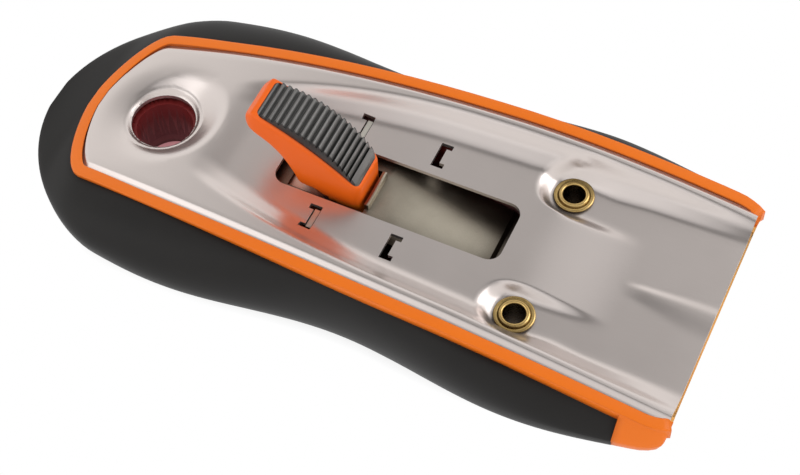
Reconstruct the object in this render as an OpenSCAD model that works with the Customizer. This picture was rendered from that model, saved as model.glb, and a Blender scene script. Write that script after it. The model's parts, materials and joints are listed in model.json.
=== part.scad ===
// Window scraper: moulded core, rubber grip, pressed cover plate and a blade that slides on a thumb lever.
// +X points to the blade and +Z is up.
// The origin is under the middle of the handle, on the surface it lies on.

/* [Handle] */
// Length from the rear of the grip to the nose
handle_len = 134; // [132:0.5:137]
// Height of the slide track above the resting face
track_z = 19; // [18.5:0.25:20]
// Mean half-width of the rubber grip
grip_half = 28.2; // [27.9:0.1:29]
// Swell and waist of the grip either side of the mean half-width
grip_wave = 1.8; // [0.8:0.1:2]
// Distance from one swell of the grip to the next
wave_len = 69.5; // [66:0.5:72]
// Height of the widest line of the grip at mid-length
grip_mid_z = 12.5; // [12:0.1:13]
// Rise of the widest line for each millimetre towards the nose
grip_mid_slope = 0.035; // [0.02:0.005:0.04]
// Length over which the rear of the grip closes in plan
grip_end_run = 24.5; // [21:0.5:28]
// Step from the plate's edge down to the top of the grip at the front
grip_step = 1.2; // [0.8:0.1:1.6]
// Rubber left below the core
grip_floor = 3; // [2:0.25:3.5]
// Rise of the underside from the resting face to the front of the grip
belly_rise = 5.8; // [5.2:0.1:6.4]
// Width of the orange rim round the plate
rim_w = 2.3; // [2:0.1:2.5]
// Height of the orange rim above the plate's edge
rim_proud = 0.3; // [0.1:0.05:0.4]
// Length of the orange nose in front of the grip
nose_len = 8.6; // [8:0.1:10]

/* [Cover plate] */
// Width of the plate at its front edge
plate_w = 46; // [45:0.25:47]
// Length of the plate
plate_len = 122.35; // [121:0.25:123]
// Thickness of the sheet
sheet_t = 0.8; // [0.6:0.05:0.9]
// Width that the plate loses from its front edge to its rear, each side
plate_narrow = 7.95; // [7.5:0.05:8.2]
// Rise of the arched sides above the flat track
arch_rise = 3.1; // [2.8:0.05:3.4]
// Fall of the arch from its crest to the front edge
arch_front_fall = 4.3; // [4.1:0.05:4.5]
// Fall of the arch from its crest to the rear edge
arch_rear_fall = 8.25; // [7.75:0.25:8.75]
// Height of the rolled side rails above the plate's edge
rail_rise = 0.6; // [0.3:0.05:0.9]
// Width over which the edge of the plate rolls down
roll_w = 1.3; // [1:0.1:1.9]
// Distance from the plate's edge to the steep part of the track's wall
pan_margin = 3.3; // [3.2:0.05:3.6]
// Reach of the wall's hollow foot into the track
wall_foot = 4.8; // [4:0.1:5]
// Reach of the wall's head towards the plate's edge
wall_head = 1.35; // [1.1:0.05:1.4]
// Drop from the track to the front floor
front_drop = 2.1; // [1.9:0.05:2.2]
// Rise of the ridge at the middle of the front floor
ridge_rise = 0.4; // [0.2:0.05:0.5]

/* [Slot, windows and holes] */
// Length of the slot for the lever
slot_len = 44.4; // [42:0.2:45]
// Width of the slot for the lever
slot_w = 12.8; // [12.6:0.1:13.4]
// Corner radius of the slot
slot_r = 2.5; // [1:0.1:4]
// Length of each lock window along the tool
window_len = 2.36; // [2.1:0.02:2.6]
// Width of each lock window across the tool
window_w = 5.42; // [5.2:0.02:5.8]
// Width of the window's bar that takes the tooth
window_bar = 1.36; // [1.3:0.02:1.5]
// Width of the two short arms of the window
window_arm = 1.05; // [0.7:0.05:1.2]
// Distance from the middle of the plate to a window's middle
window_y = 10.9; // [10.7:0.05:11.1]
// Radius of the hang hole
hang_r = 5.4; // [5:0.1:5.6]
// Slope of the dish round the hang hole in degrees
dish_angle = 52; // [48:1:56]

/* [Eyelets] */
// Distance between the two eyelets
eyelet_pitch = 27.4; // [26.8:0.1:28]
// Outer radius of the eyelet's barrel
eyelet_r = 2.55; // [2.4:0.05:2.7]
// Radius of the eyelet's hole
eyelet_hole_r = 2; // [1.7:0.05:2.1]
// Radius of the eyelet's rolled flange
eyelet_flange_r = 3.7; // [3.4:0.05:3.9]
// Height of the eyelet's rolled flange
eyelet_flange_h = 1; // [0.8:0.05:1.2]

/* [Lever and blade] */
// Travel of the blade between its two locked places
travel = 14.88; // [14.5:0.02:15]
// Width of the thumb lever
lever_w = 9.2; // [8.8:0.1:9.4]
// Radius of the lever's ribbed thumb face
pad_r = 19.35; // [19:0.05:19.7]
// Width of the rubber pad
pad_w = 8.2; // [7.6:0.1:8.2]
// Number of grooves across the pad
pad_grooves = 16; // [8:1:18]
// Radius of the lever's cross pin
pin_r = 0.8; // [0.7:0.05:0.9]
// Width of the blade
blade_w = 40; // [38:0.25:40]
// Depth of the blade from its back to its cutting edge
blade_d = 22; // [21.5:0.1:22.2]
// Thickness of the blade
blade_t = 0.25; // [0.2:0.01:0.26]
// Width of the carrier strip
carrier_w = 17.2; // [16.4:0.1:17.4]
// Thickness of the carrier strip
carrier_t = 0.8; // [0.6:0.05:0.8]

/* [Hidden] */
$fn = 64;
ov = 0.01;
far = 200;

// Clearances
plate_gap = 0.15;
seat_gap = 0.05;
shank_gap = 0.03;
pivot_gap = 0.05;
pad_gap = 0.02;

// Distances along the tool, most of them behind the plate's front edge
nose_lip = 0.65;
slot_back = 6.6;
crest_back = 44.8;
pan_taper_back = 53.35;
pan_back = 96.35;
tongue_back = 25.6;
ridge_back = 17.3;
eyelet_back = 31.55;
hang_back = 109.15;
tooth_back = 71.68;
swell_back = 94.75;
belly_back = 51.6;
step_back = 111.35;

// Stations along the tool
x_tip = handle_len / 2;
x_front = x_tip - nose_lip;
x_rear = -x_tip;
x_nose = x_tip - nose_len;
x_plate_rear = x_front - plate_len;
x_crest = x_front - crest_back;
x_pan_taper = x_front - pan_taper_back;
x_pan_rear = x_front - pan_back;
x_tongue = x_front - tongue_back;
x_ridge = x_front - ridge_back;
x_eyelet = x_front - eyelet_back;
x_slot_front = x_eyelet - slot_back;
x_hang = x_front - hang_back;
x_tooth = x_front - tooth_back;
x_swell = x_front - swell_back;
x_belly = x_front - belly_back;
x_step = x_front - step_back;

// Plan and arch of the plate
narrow_power = 2.27;
arch_front_power = 1.66;
arch_rear_power = 2.49;
plate_end_run = 6;
plate_end_power = 1.6;
end_stub = 0.15;

// Track, tongue and pockets pressed into the plate
pan_taper = 0.0025;
pan_ramp = 9;
pan_min = 0.45;
pocket_ramp = 2.6;
pocket_r = 5.3;
pocket_steps = 8;
pocket_front = 6;
pocket_columns = 4;
x_pocket = x_eyelet - pocket_r - pocket_ramp / 2;
pan_lead = 6;
x_pan_front = x_pocket - pan_lead;
tongue_in = 0.397;
tongue_out = 0.495;
tongue_ramp = 20.5;
wall_share = 0.4;
seat_room = 0.9;
seat_ramp = 2;
wall_power = 1.6;
wall_steps = 6;
ridge_run = 5;
ridge_half = 1;
ridge_spread = 1.7;
ridge_step = 0.05;
ridge_columns = 3;
bowl_depth = 2.4;
bowl_r = 13;
floor_z = track_z - front_drop;
under_z = floor_z - sheet_t;

// Rubber grip and nose sections
grip_end_power = 1.88;
grip_stub = 0.25;
grip_top_run = 17;
grip_low_run = 20;
round_power = 2;
grip_flat = 0.42;
flat_pinch = 0.12;
flat_mid = (x_belly + x_rear + grip_low_run) / 2;
flat_run = (x_belly - x_rear - grip_low_run) / 2;
grip_step_rear = 0.1;
grip_step_run = 55;
section_steps = 8;
min_half = 0.3;
rim_tuck = 0.7;
nose_round = 2.7;
nose_curl = 2.1;
nose_round_run = 5;
nose_steps = 8;
nose_tuck = 0.15;
nose_flank = 0.7;
nose_lean = 0.4;
chin_angle = 28;
flank_run = 24;
core_foot_h = 8.5;
core_foot_lap = 1;
core_foot_in = 4.5;

// Core and its bays
edge_seat = 1.2;
deck_drop = 1.5;
deck_front_drop = 0.2;
deck_step_lead = 2;
deck_step_x = x_pocket - deck_step_lead;
deck_lap = 0.5;
front_over = 1;
tube_wall = 2.8;
tube_clear = 2.4;
tube_drop = 6.4;
tube_z = track_z - tube_drop;
bay_drop = 7.8;
bay_z = track_z - bay_drop;
bay_tail = 24.7;
bay_rear = x_tooth - bay_tail;
bay_lead = 3.5;
bay_wide_front = x_tooth + travel + bay_lead;
bay_side = 2.4;
bay_wide_half = window_y + bay_side;
bay_gap = 0.8;
bay_stop = 15.35;
bay_front = x_front - bay_stop;
blade_bay_back = 25.85;
blade_bay_rear = x_front - blade_bay_back;
blade_bay_drop = 2.1;
blade_bay_z = under_z - blade_bay_drop;
blade_side_gap = 0.4;
ledge_back = 3;
ledge_x = x_tip - ledge_back;
blade_gap = 0.25;
cell_z = 7;
cell_in = 5;
cell_rear = x_plate_rear + cell_in;
cell_wall = 3;
cell_front = bay_rear - cell_wall;
cell_half = 12.5;
cell_rib = 1.6;

// Eyelets and washers
clinch_z = 9;
washer_t = 0.8;
washer_r = 4.2;
clinch_h = 0.7;
clinch_r = 3.5;
well_r = 4.6;

// Dish of the hang hole
dish_over = 0.2;
dish_r = hang_r + dish_over;
dish_drop = 5.3;
dish_z = track_z - dish_drop;
dish_t = 1.1;
dish_h = 9;
dish_grow = dish_h / tan(dish_angle);
hang_cover_gap = 0.4;

// Carrier, blade and lock spring
blade_z = under_z - blade_gap - blade_t;
blade_back = 2.85;
blade_tip_x = x_front - blade_back;
blade_rear_x = blade_tip_x - blade_d;
bevel_run = 1.2;
carrier_drop = 2.4;
carrier_z = track_z - carrier_drop;
carrier_tail = 22.7;
carrier_rear = x_tooth - carrier_tail;
carrier_flat = 8.2;
carrier_bend = x_tooth + carrier_flat;
fold_ahead = 30.8;
carrier_fold_x = x_tooth + fold_ahead;
fold_drop = 5.6;
carrier_fold_z = track_z - fold_drop;
dip_run = 0.6;
carrier_dip_x = carrier_fold_x + dip_run;
dip_drop = 6.7;
carrier_dip_z = track_z - dip_drop;
dip_len = 2.6;
carrier_foot_x = carrier_dip_x + dip_len;
rise_run = 3.4;
carrier_rise_x = carrier_foot_x + rise_run;
platform_tail = 0.3;
platform_rear = blade_rear_x - platform_tail;
platform_ahead = 7;
platform_front = blade_rear_x + platform_ahead;
platform_half = 17;
stud_ahead = 3.5;
stud_x = blade_rear_x + stud_ahead;
stud_y = 11;
stud_r = 1.2;
stud_head_r = 1.9;
stud_foot_r = 2;
stud_foot_h = 0.6;
stud_gap = 0.05;
mouth_tail = 8.5;
mouth_rear = x_tooth - mouth_tail;
mouth_ahead = 6.75;
mouth_front = x_tooth + mouth_ahead;
mouth_gap = 0.2;
mouth_half = lever_w / 2 + mouth_gap;
tab_half = 4;
tab_t = 0.8;
tab_drop = 0.9;
tab_z = track_z - tab_drop;
ear_t = 0.8;
ear_r = 1.7;
leaf_t = 0.5;
leaf_tail = 20.7;
leaf_rear = x_tooth - leaf_tail;
leaf_reach = 9.7;
leaf_root = x_tooth - leaf_reach;
leaf_root_half = 6;
leaf_half = 4.2;
leaf_set = 0.3;
bar_len = 2.2;
tooth_t = 1;
tooth_w = 4;
tooth_drop = 0.25;
tooth_z = track_z - tooth_drop;
rivet_back = 15.7;
rivet_x = x_tooth - rivet_back;
rivet_y = 4;
rivet_r = 1.2;
rivet_head_r = 2;
rivet_head_h = 0.5;

// Lever and pad
pin_ahead = 4.85;
pin_x = x_tooth + pin_ahead;
nub_drop = 2.2;
nub_z = track_z - nub_drop;
pin_drop = 2.2;
pin_z = nub_z - pin_drop;
pin_over = 0.25;
boss_r = 1.9;
pad_behind = 16.9;
pad_x = pin_x - pad_behind;
pad_drop = 2.3;
pad_z = nub_z - pad_drop;
pad_back = 1.5;
pad_ahead = 17.7;
pad_rear = pad_x - pad_back;
pad_front = pad_x + pad_ahead;
pad_crown = 2.4;
pad_sink = 1.2;
face_angle = 59;
seat_r = 60;
seat_set = seat_r + pad_crown - pad_r;
seat_x = pad_x - seat_set * cos(face_angle);
seat_z = pad_z - seat_set * sin(face_angle);
groove_r = 0.32;
groove_first = -2.2;
groove_step = 3.75;
lever_heel = 3;
lever_lip = 0.5;
lever_rear = pad_rear - lever_heel;
lever_nose = pad_front + lever_lip;
lever_plan_over = 0.3;
lever_r = 2.2;
nub_r = 1.2;
nub_front_drop = 0.4;
nub_front_z = nub_z - nub_front_drop;
nub_rear_drop = 0.2;
nub_rear_z = nub_z - nub_rear_drop;
lip_rise = 4.6;
lip_z = nub_z + lip_rise;
lip_lean = 0.15;
heel_rise = 13.4;
heel_z = nub_z + heel_rise;
heel_lean = 0.4;
heel_face = 2.1;
heel_round = 1.5;
lever_over = 5;

// Underside of the lever from the nub to the heel, as distances behind the tooth and above the nub's middle
lever_under = [[3, 1], [6.4, 1], [6.8, 3], [7.9, 5.2], [8.9, 7.1], [10.6, 9.2], [12.6, 10.7], [15.9, 12.6]];

// Colours
orange = [0.93, 0.36, 0.08];
rubber = [0.16, 0.16, 0.16];
steel = [0.75, 0.74, 0.72];
dark_steel = [0.55, 0.54, 0.5];
brass = [0.78, 0.62, 0.3];

// Smooth step from 0 to 1
function smooth(t) =
    let (c = min(1, max(0, t)))
    c * c * (3 - 2 * c);

// Closing factor of an outline that ends in a rounded rear
function end_round(x, rear, run, power) =
    x >= rear + run ? 1 : pow(max(0, 1 - pow((rear + run - x) / run, power)), 1 / power);

// Arched height of the plate's edge
function arch(x) =
    track_z + arch_rise
    - arch_front_fall * pow(max(0, x - x_crest) / (x_front - x_crest), arch_front_power)
    - arch_rear_fall * pow(max(0, x_crest - x) / (x_crest - x_plate_rear), arch_rear_power);

// Half-width of the plate before its rear is rounded
function plate_side(x) =
    plate_w / 2 - plate_narrow * pow(max(0, x_front - x) / plate_len, narrow_power);

// Closing of the plate's rear, for an outline that is wider by grow
function plate_close(x, grow) =
    end_round(x, x_plate_rear - end_stub - grow, plate_end_run + grow, plate_end_power);

// Half-width of the plate's outline, wider by grow
function plate_half(x, grow) = (plate_side(x) + grow) * plate_close(x, grow);

// Stations of an outline, closer together round its rear
function outline_x(grow, front) =
    let (rear = x_plate_rear - grow, run = plate_end_run + grow, steps = 18)
    concat(
        [for (a = [0 : 10 : 80]) rear + run * (1 - cos(a))],
        [for (i = [0 : steps]) rear + run + (front - rear - run) * i / steps]);

// Closed plan outline of the plate, wider by grow and cut off at front
function outline(grow, front) =
    let (xs = outline_x(grow, front), n = len(xs) - 1)
    concat(
        [for (x = xs) [x, plate_half(x, grow)]],
        [for (i = [n : -1 : 0]) [xs[i], -plate_half(xs[i], grow)]]);

// Tops of the orange rim and of the rubber beside it
function rim_top(x) = arch(x) + rim_proud;
function grip_top(x) =
    arch(x) - grip_step * (grip_step_rear + (1 - grip_step_rear) * smooth((x - x_step) / grip_step_run));

// Rounding of the nose towards its front face, from 0 to 1
function nose_end(x) =
    let (t = min(1, max(0, (x - x_tip + nose_round_run) / nose_round_run)))
    1 - sqrt(1 - t * t);

// Underside of the handle
function belly(x) =
    belly_rise * pow(max(0, x - x_belly) / (x_nose - x_belly), 2)
    + nose_curl * nose_end(x);

// Half-width and height of the widest line of the handle
function swell(x) =
    (grip_half + grip_wave * cos(360 * (x - x_swell) / wave_len))
    * end_round(x, x_rear - grip_stub, grip_end_run, grip_end_power)
    - nose_round * nose_end(x);
function mid_z(x) = grip_mid_z + grip_mid_slope * x;

// Share of a straight slope in the upper flank, which grows towards the nose
function flank(x) = nose_flank * smooth((x - x_nose + flank_run) / flank_run);

// Half-width of the flat underside as a share of the handle's, drawn in between the two ends it stands on
function flat_share(x) = grip_flat - flat_pinch * max(0, 1 - pow((x - flat_mid) / flat_run, 2));

// One cross-section of the handle below a given top, as a ring that starts at the top on the +Y side
function section(x, crown, tuck) =
    let (w = swell(x),
        m = mid_z(x),
        f = flank(x),
        r = max(min_half, min(plate_half(x, rim_w) - nose_round * nose_end(x) - tuck, w - min_half)),
        top = m + (crown - m) * end_round(x, x_rear - grip_stub, grip_top_run, round_power),
        low = m - (m - belly(x)) * end_round(x, x_rear - grip_stub, grip_low_run, round_power),
        b = w * flat_share(x),
        a = 90 / section_steps,
        side = concat(
            [for (i = [0 : section_steps])
                [r + (w - r) * sin(i * a), m + (top - m) * ((1 - f) * cos(i * a) + f * (1 - sin(i * a)))]],
            [for (i = [1 : section_steps]) [b + (w - b) * cos(i * a), m - (m - low) * sin(i * a)]]))
    concat(
        [for (p = side) [x, p[0], p[1]]],
        [for (i = [len(side) - 1 : -1 : 0]) [x, -side[i][0], side[i][1]]]);

// Solid through a row of rings with equal numbers of points
module loft(rings) {
    n = len(rings);
    m = len(rings[0]);
    points = [for (ring = rings) for (p = ring) p];
    sides = [for (i = [0 : n - 2]) for (j = [0 : m - 1])
        let (k = (j + 1) % m)
        each [[i * m + j, i * m + k, (i + 1) * m + k], [i * m + j, (i + 1) * m + k, (i + 1) * m + j]]];
    rear = [for (j = [1 : m - 2]) [0, j + 1, j]];
    front = [for (j = [1 : m - 2]) [(n - 1) * m, (n - 1) * m + j, (n - 1) * m + j + 1]];
    polyhedron(points, concat(sides, rear, front));
}

// Prism from a profile in X and Z, centred on Y
module profile(points, width) {
    rotate([90, 0, 0])
        linear_extrude(width, center = true)
            polygon(points);
}

// Prism above or below a height that varies along the tool
function above(xs, heights) =
    concat([[xs[0], far], [xs[len(xs) - 1], far]],
        [for (i = [len(xs) - 1 : -1 : 0]) [xs[i], heights[i]]]);

// Pad of a box that is centred on Y
module block(x0, x1, half, z0, z1) {
    translate([x0, -half, z0])
        cube([x1 - x0, 2 * half, z1 - z0]);
}

// Rectangle with rounded corners, from x0 to x1 and centred on Y
module rounded(x0, x1, half, r) {
    translate([x0 + r, -half])
        square([x1 - x0 - 2 * r, 2 * half]);
    translate([x0, -half + r])
        square([x1 - x0, 2 * half - 2 * r]);
    for (x = [x0 + r, x1 - r])
        for (s = [-1, 1])
            translate([x, s * (half - r)])
                circle(r);
}

// Stations and plan outline of the core, with its front corners rounded off
function core_x(grow) =
    concat(
        outline_x(grow, x_nose),
        [for (i = [1 : nose_steps]) x_nose + nose_len * sin(90 * i / nose_steps)]);
function core_outline(grow) =
    let (xs = core_x(grow), n = len(xs) - 1)
    concat(
        [for (x = xs) [x, plate_half(x, grow) - nose_round * nose_end(x)]],
        [for (i = [n : -1 : 0]) [xs[i], nose_round * nose_end(xs[i]) - plate_half(xs[i], grow)]]);

// Slab of the core between two rows of heights
module core_slab(grow, lows, tops) {
    xs = core_x(rim_w);
    n = len(xs) - 1;
    intersection() {
        linear_extrude(far)
            polygon(core_outline(grow));
        profile(concat([for (i = [0 : n]) [xs[i], tops[i]]], [for (i = [n : -1 : 0]) [xs[i], lows[i]]]), far);
    }
}

// Block of the core that the rubber is moulded round, with a narrower foot
module core_block() {
    xs = core_x(rim_w);
    foot = [for (x = xs) min(belly(x) + core_foot_h, mid_z(x))];
    core_slab(rim_w, foot, [for (x = xs) rim_top(x)]);
    low = [for (x = xs) belly(x) + grip_floor];
    core_slab(rim_w - core_foot_in, low, [for (z = foot) z + core_foot_lap]);
}

// Nose of the core in front of the rubber
module nose() {
    xs = [for (i = [0 : nose_steps]) x_nose + nose_len * sin(90 * i / nose_steps)];
    loft([for (x = xs) section(x, rim_top(x) - nose_tuck / 2, nose_tuck)]);
}

// Cut that leans the front face of the nose back, more so below the blade's mouth
module chin_cut() {
    front = x_tip + front_over;
    mouth_x = x_tip - nose_lean;
    mouth_z = blade_z - blade_gap;
    face_slope = (rim_top(x_tip) - mouth_z) / nose_lean;
    profile([[mouth_x, mouth_z], [front, mouth_z + (front - mouth_x) * face_slope], [front, -front_over],
        [mouth_x - (mouth_z + front_over) * tan(chin_angle), -front_over]], far);
}

// Deck that the track of the plate lies over
function deck(x) =
    x > deck_step_x ? under_z - deck_front_drop : min(track_z - deck_drop, arch(x) - deck_drop);

module deck_cut() {
    front = x_tip + front_over;
    xs = outline_x(plate_gap, front);
    seat = [for (x = xs) arch(x) - sheet_t - seat_gap];
    intersection() {
        linear_extrude(far)
            polygon(outline(plate_gap, front));
        profile(above(xs, seat), far);
    }
    inner = outline_x(-edge_seat, deck_step_x);
    intersection() {
        linear_extrude(far)
            polygon(outline(-edge_seat, front));
        union() {
            profile(above(inner, [for (x = inner) deck(x)]), far);
            block(deck_step_x - deck_lap, front, far, under_z - deck_front_drop, far);
        }
    }
}

// Bays in which the carrier, the lock spring and the blade run
module bays() {
    narrow = carrier_w / 2 + bay_gap;
    block(bay_rear, bay_wide_front, bay_wide_half, bay_z, track_z);
    block(bay_rear, bay_front, narrow, bay_z, track_z);
    block(blade_bay_rear, ledge_x, blade_w / 2 + blade_side_gap, blade_bay_z, track_z);
    block(ledge_x - ov, x_tip + front_over, blade_w / 2 + blade_side_gap, blade_z - blade_gap, track_z);
}

// Hollow cells round the tube of the hang hole
module cells() {
    difference() {
        block(cell_rear, cell_front, cell_half, cell_z, track_z);
        translate([x_hang, 0, 0])
            cylinder(h = far, r = hang_r + tube_wall);
        block(cell_rear - ov, cell_front + ov, cell_rib / 2, 0, far);
        translate([x_hang - cell_rib / 2, -far / 2, 0])
            cube([cell_rib, far, far]);
    }
}

// Bosses, tube and wells
module eyelet_seats() {
    for (s = [-1, 1])
        translate([x_eyelet, s * eyelet_pitch / 2, clinch_z])
            cylinder(h = under_z - clinch_z, r = eyelet_flange_r);
}

module eyelet_bores() {
    for (s = [-1, 1])
        translate([x_eyelet, s * eyelet_pitch / 2, 0]) {
            cylinder(h = far, r = eyelet_r + seat_gap);
            cylinder(h = clinch_z, r = well_r);
        }
}

module hang_bore(r) {
    translate([x_hang, 0, -1])
        cylinder(h = far, r = r);
}

// Orange moulded core
module handle_core() {
    color(orange)
        difference() {
            union() {
                difference() {
                    union() {
                        core_block();
                        nose();
                    }
                    chin_cut();
                    deck_cut();
                    bays();
                    cells();
                    translate([x_hang, 0, tube_z])
                        cylinder(h = far, r = hang_r + tube_wall + tube_clear);
                }
                eyelet_seats();
            }
            eyelet_bores();
            hang_bore(hang_r);
        }
}

// Black rubber cover
module grip_cover() {
    rear_steps = 11;
    steps = 20;
    xs = concat(
        [for (i = [0 : rear_steps - 1]) x_rear + grip_end_run * (1 - cos(90 * i / rear_steps))],
        [for (i = [0 : steps]) x_rear + grip_end_run + (x_nose - x_rear - grip_end_run) * i / steps]);
    color(rubber)
        difference() {
            loft([for (x = xs) section(x, grip_top(x), rim_tuck)]);
            core_block();
            eyelet_bores();
            hang_bore(hang_r + hang_cover_gap);
        }
}

// Half-width of the track
function pan_half(x) =
    max(pan_min * plate_side(x), plate_side(x) - pan_margin - pan_taper * pow(max(0, x_pan_taper - x), 2));

// Foot of the track's wall, measured inwards from the steep part
function foot_reach(x) = min(wall_foot, wall_share * pan_half(x));

// Columns of the sheet from the middle to its edge
function columns(x) =
    let (p = pan_half(x),
        e = plate_side(x),
        d = tongue_out - tongue_in,
        a = tongue_out * p,
        b = p - foot_reach(x),
        w = p + wall_head - b)
    concat(
        [for (i = [0 : ridge_columns]) ridge_step * p * i],
        [for (i = [0 : 2]) (tongue_in + d * i / 3) * p],
        [for (i = [0 : pocket_columns]) a + (b - a) * i / (pocket_columns + 1)],
        [for (i = [0 : wall_steps]) b + w * i / wall_steps],
        [e - roll_w, e - roll_w / 2, e]);

// Height of the sheet's upper face before its bowl and ridge
function sheet_z(x, y) =
    let (p = pan_half(x),
        e = plate_side(x),
        b = foot_reach(x),
        tongue = smooth((tongue_out * p - y) / ((tongue_out - tongue_in) * p)),
        slope = smooth((x - x_tongue) / tongue_ramp + 0.5),
        bow = sqrt(max(0, pow(pocket_r, 2) - pow(y - eyelet_pitch / 2, 2))),
        pocket = smooth((x - x_eyelet + bow) / pocket_ramp + 0.5),
        low = slope * tongue + pocket * (1 - tongue),
        off = norm([x - x_eyelet, y - eyelet_pitch / 2]) - eyelet_flange_r - seat_room,
        wall = pow(smooth((y - p + b) / (b + wall_head)), wall_power) * smooth(off / seat_ramp),
        c = (1 - wall) * smooth((x - x_pan_rear) / pan_ramp),
        rail = arch(x) + rail_rise * smooth((e - y) / roll_w))
    rail * (1 - c) + (track_z - front_drop * low) * c;

// Ridge that widens from a blunt tip towards the front edge
function ridge(x, y) =
    ridge_rise * smooth((x - x_ridge) / ridge_run)
    * smooth(1 - y / (ridge_half + ridge_spread * smooth((x - x_ridge) / (x_front - x_ridge))));

// Shallow bowl that the hang hole lies in, at a distance from its middle
function bowl(r) = bowl_depth * smooth(1 - r / bowl_r);

// Stations of the sheet, close together where its height changes
function sheet_x() =
    concat(
        [for (a = [0 : 11.25 : 78.75]) x_plate_rear + plate_end_run * (1 - cos(a))],
        [for (i = [0 : 6]) x_plate_rear + plate_end_run
            + (x_pan_rear - x_plate_rear - plate_end_run) * i / 7],
        [for (i = [0 : 5]) x_pan_rear + pan_ramp * i / 5],
        [for (i = [1 : 5]) x_pan_rear + pan_ramp + (x_pan_front - x_pan_rear - pan_ramp) * i / 5],
        [for (i = [1 : 3]) x_pan_front + (x_pocket - x_pan_front) * i / 4],
        [for (i = [0 : pocket_steps]) x_pocket + pocket_r * i / pocket_steps],
        [for (i = [0 : 5]) x_eyelet + pocket_front * i / 5],
        [for (i = [1 : 14]) x_eyelet + pocket_front + (x_front - x_eyelet - pocket_front) * i / 14]);

module sheet() {
    xs = sheet_x();
    n = len(xs);
    h = len(columns(0));
    m = 2 * h - 1;
    grid = [for (x = xs)
        let (c = columns(x), k = plate_close(x, 0))
        for (j = [0 : m - 1])
            let (s = j < h - 1 ? -1 : 1, y = c[abs(j - h + 1)])
            [x, s * y * k, sheet_z(x, y) + ridge(x, y) - bowl(norm([x - x_hang, y * k]))]];
    low = [for (p = grid) p - [0, 0, sheet_t]];
    o = n * m;
    cells = [for (i = [0 : n - 2]) for (j = [0 : m - 2])
        let (k = i * m + j)
        [k, k + 1, k + m + 1, k + m]];
    upper = [for (q = cells) each [[q[0], q[1], q[2]], [q[0], q[2], q[3]]]];
    lower = [for (q = cells) each [[o + q[2], o + q[1], o + q[0]], [o + q[3], o + q[2], o + q[0]]]];
    rear = [for (j = [0 : m - 2]) each [[j, o + j, o + j + 1], [j, o + j + 1, j + 1]]];
    b = (n - 1) * m;
    front = [for (j = [0 : m - 2])
        let (p = b + j, q = p + 1)
        each [[q, o + q, o + p], [q, o + p, p]]];
    right = [for (i = [0 : n - 2])
        let (p = i * m, q = p + m)
        each [[q, o + q, o + p], [q, o + p, p]]];
    left = [for (i = [0 : n - 2])
        let (p = i * m + m - 1, q = p + m)
        each [[p, o + p, o + q], [p, o + q, q]]];
    polyhedron(concat(grid, low), concat(upper, lower, rear, front, right, left));
}

// Inside of the dish, a cone that opens upwards
module dish_cone(z) {
    translate([x_hang, 0, z])
        cylinder(h = dish_h, r1 = dish_r, r2 = dish_r + dish_grow);
}

module dish() {
    mid = dish_r + dish_grow / 3;
    top = arch(x_hang) + rail_rise - bowl(mid) - sheet_t / 2;
    reach = 1;
    slope = atan((arch(x_hang + reach) - arch(x_hang - reach)) / (2 * reach));
    difference() {
        intersection() {
            dish_cone(dish_z - dish_t);
            translate([x_hang, 0, top])
                rotate([0, -slope, 0])
                    translate([-far / 2, -far / 2, -far])
                        cube([far, far, far]);
        }
        dish_cone(dish_z);
        hang_bore(dish_r);
    }
}

// One lock window with its bar at x and its arms towards the given side
module window(x, side) {
    long = window_len - window_bar / 2;
    for (s = [-1, 1]) {
        translate([x - window_bar / 2, s * window_y - window_w / 2, 0])
            cube([window_bar, window_w, far]);
        for (y = [-window_w / 2, window_w / 2 - window_arm])
            translate([side > 0 ? x : x - long, s * window_y + y, 0])
                cube([long, window_arm, far]);
    }
}

// Pressed steel cover plate
module cover_plate() {
    color(steel)
        difference() {
            union() {
                difference() {
                    sheet();
                    dish_cone(dish_z);
                }
                dish();
            }
            translate([0, 0, bay_z])
                linear_extrude(far)
                    rounded(x_slot_front - slot_len, x_slot_front, slot_w / 2, slot_r);
            window(x_tooth, -1);
            window(x_tooth + travel, 1);
            for (s = [-1, 1])
                translate([x_eyelet, s * eyelet_pitch / 2, 0])
                    cylinder(h = far, r = eyelet_r + seat_gap);
        }
}

// Hollow brass rivet, flanged above and clinched below
module eyelet(side) {
    foot = clinch_z - washer_t - clinch_h;
    head = floor_z + eyelet_flange_h;
    lip = eyelet_flange_h / 2;
    color(brass)
        translate([x_eyelet, side * eyelet_pitch / 2, 0])
            rotate_extrude() {
                translate([eyelet_hole_r, foot])
                    square([eyelet_r - eyelet_hole_r, floor_z - foot + lip]);
                translate([eyelet_hole_r, floor_z])
                    square([eyelet_flange_r - lip - eyelet_hole_r, lip]);
                intersection() {
                    translate([eyelet_flange_r - lip, floor_z + lip])
                        circle(lip);
                    translate([0, floor_z])
                        square([eyelet_flange_r, eyelet_flange_h]);
                }
                translate([eyelet_hole_r + lip, floor_z + lip])
                    square([eyelet_flange_r - eyelet_hole_r - 2 * lip, lip]);
                intersection() {
                    translate([eyelet_hole_r + lip, floor_z + lip])
                        circle(lip);
                    translate([eyelet_hole_r, floor_z])
                        square([lip, head - floor_z]);
                }
                translate([eyelet_hole_r, foot])
                    square([clinch_r - eyelet_hole_r, clinch_h]);
            }
}

module eyelet_left() {
    eyelet(1);
}

module eyelet_right() {
    eyelet(-1);
}

// Washer under the clinched end of an eyelet
module washer(side) {
    color(steel)
        translate([x_eyelet, side * eyelet_pitch / 2, clinch_z - washer_t])
            difference() {
                cylinder(h = washer_t, r = washer_r);
                translate([0, 0, -ov])
                    cylinder(h = washer_t + 2 * ov, r = eyelet_r + seat_gap);
            }
}

module washer_left() {
    washer(1);
}

module washer_right() {
    washer(-1);
}

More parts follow.
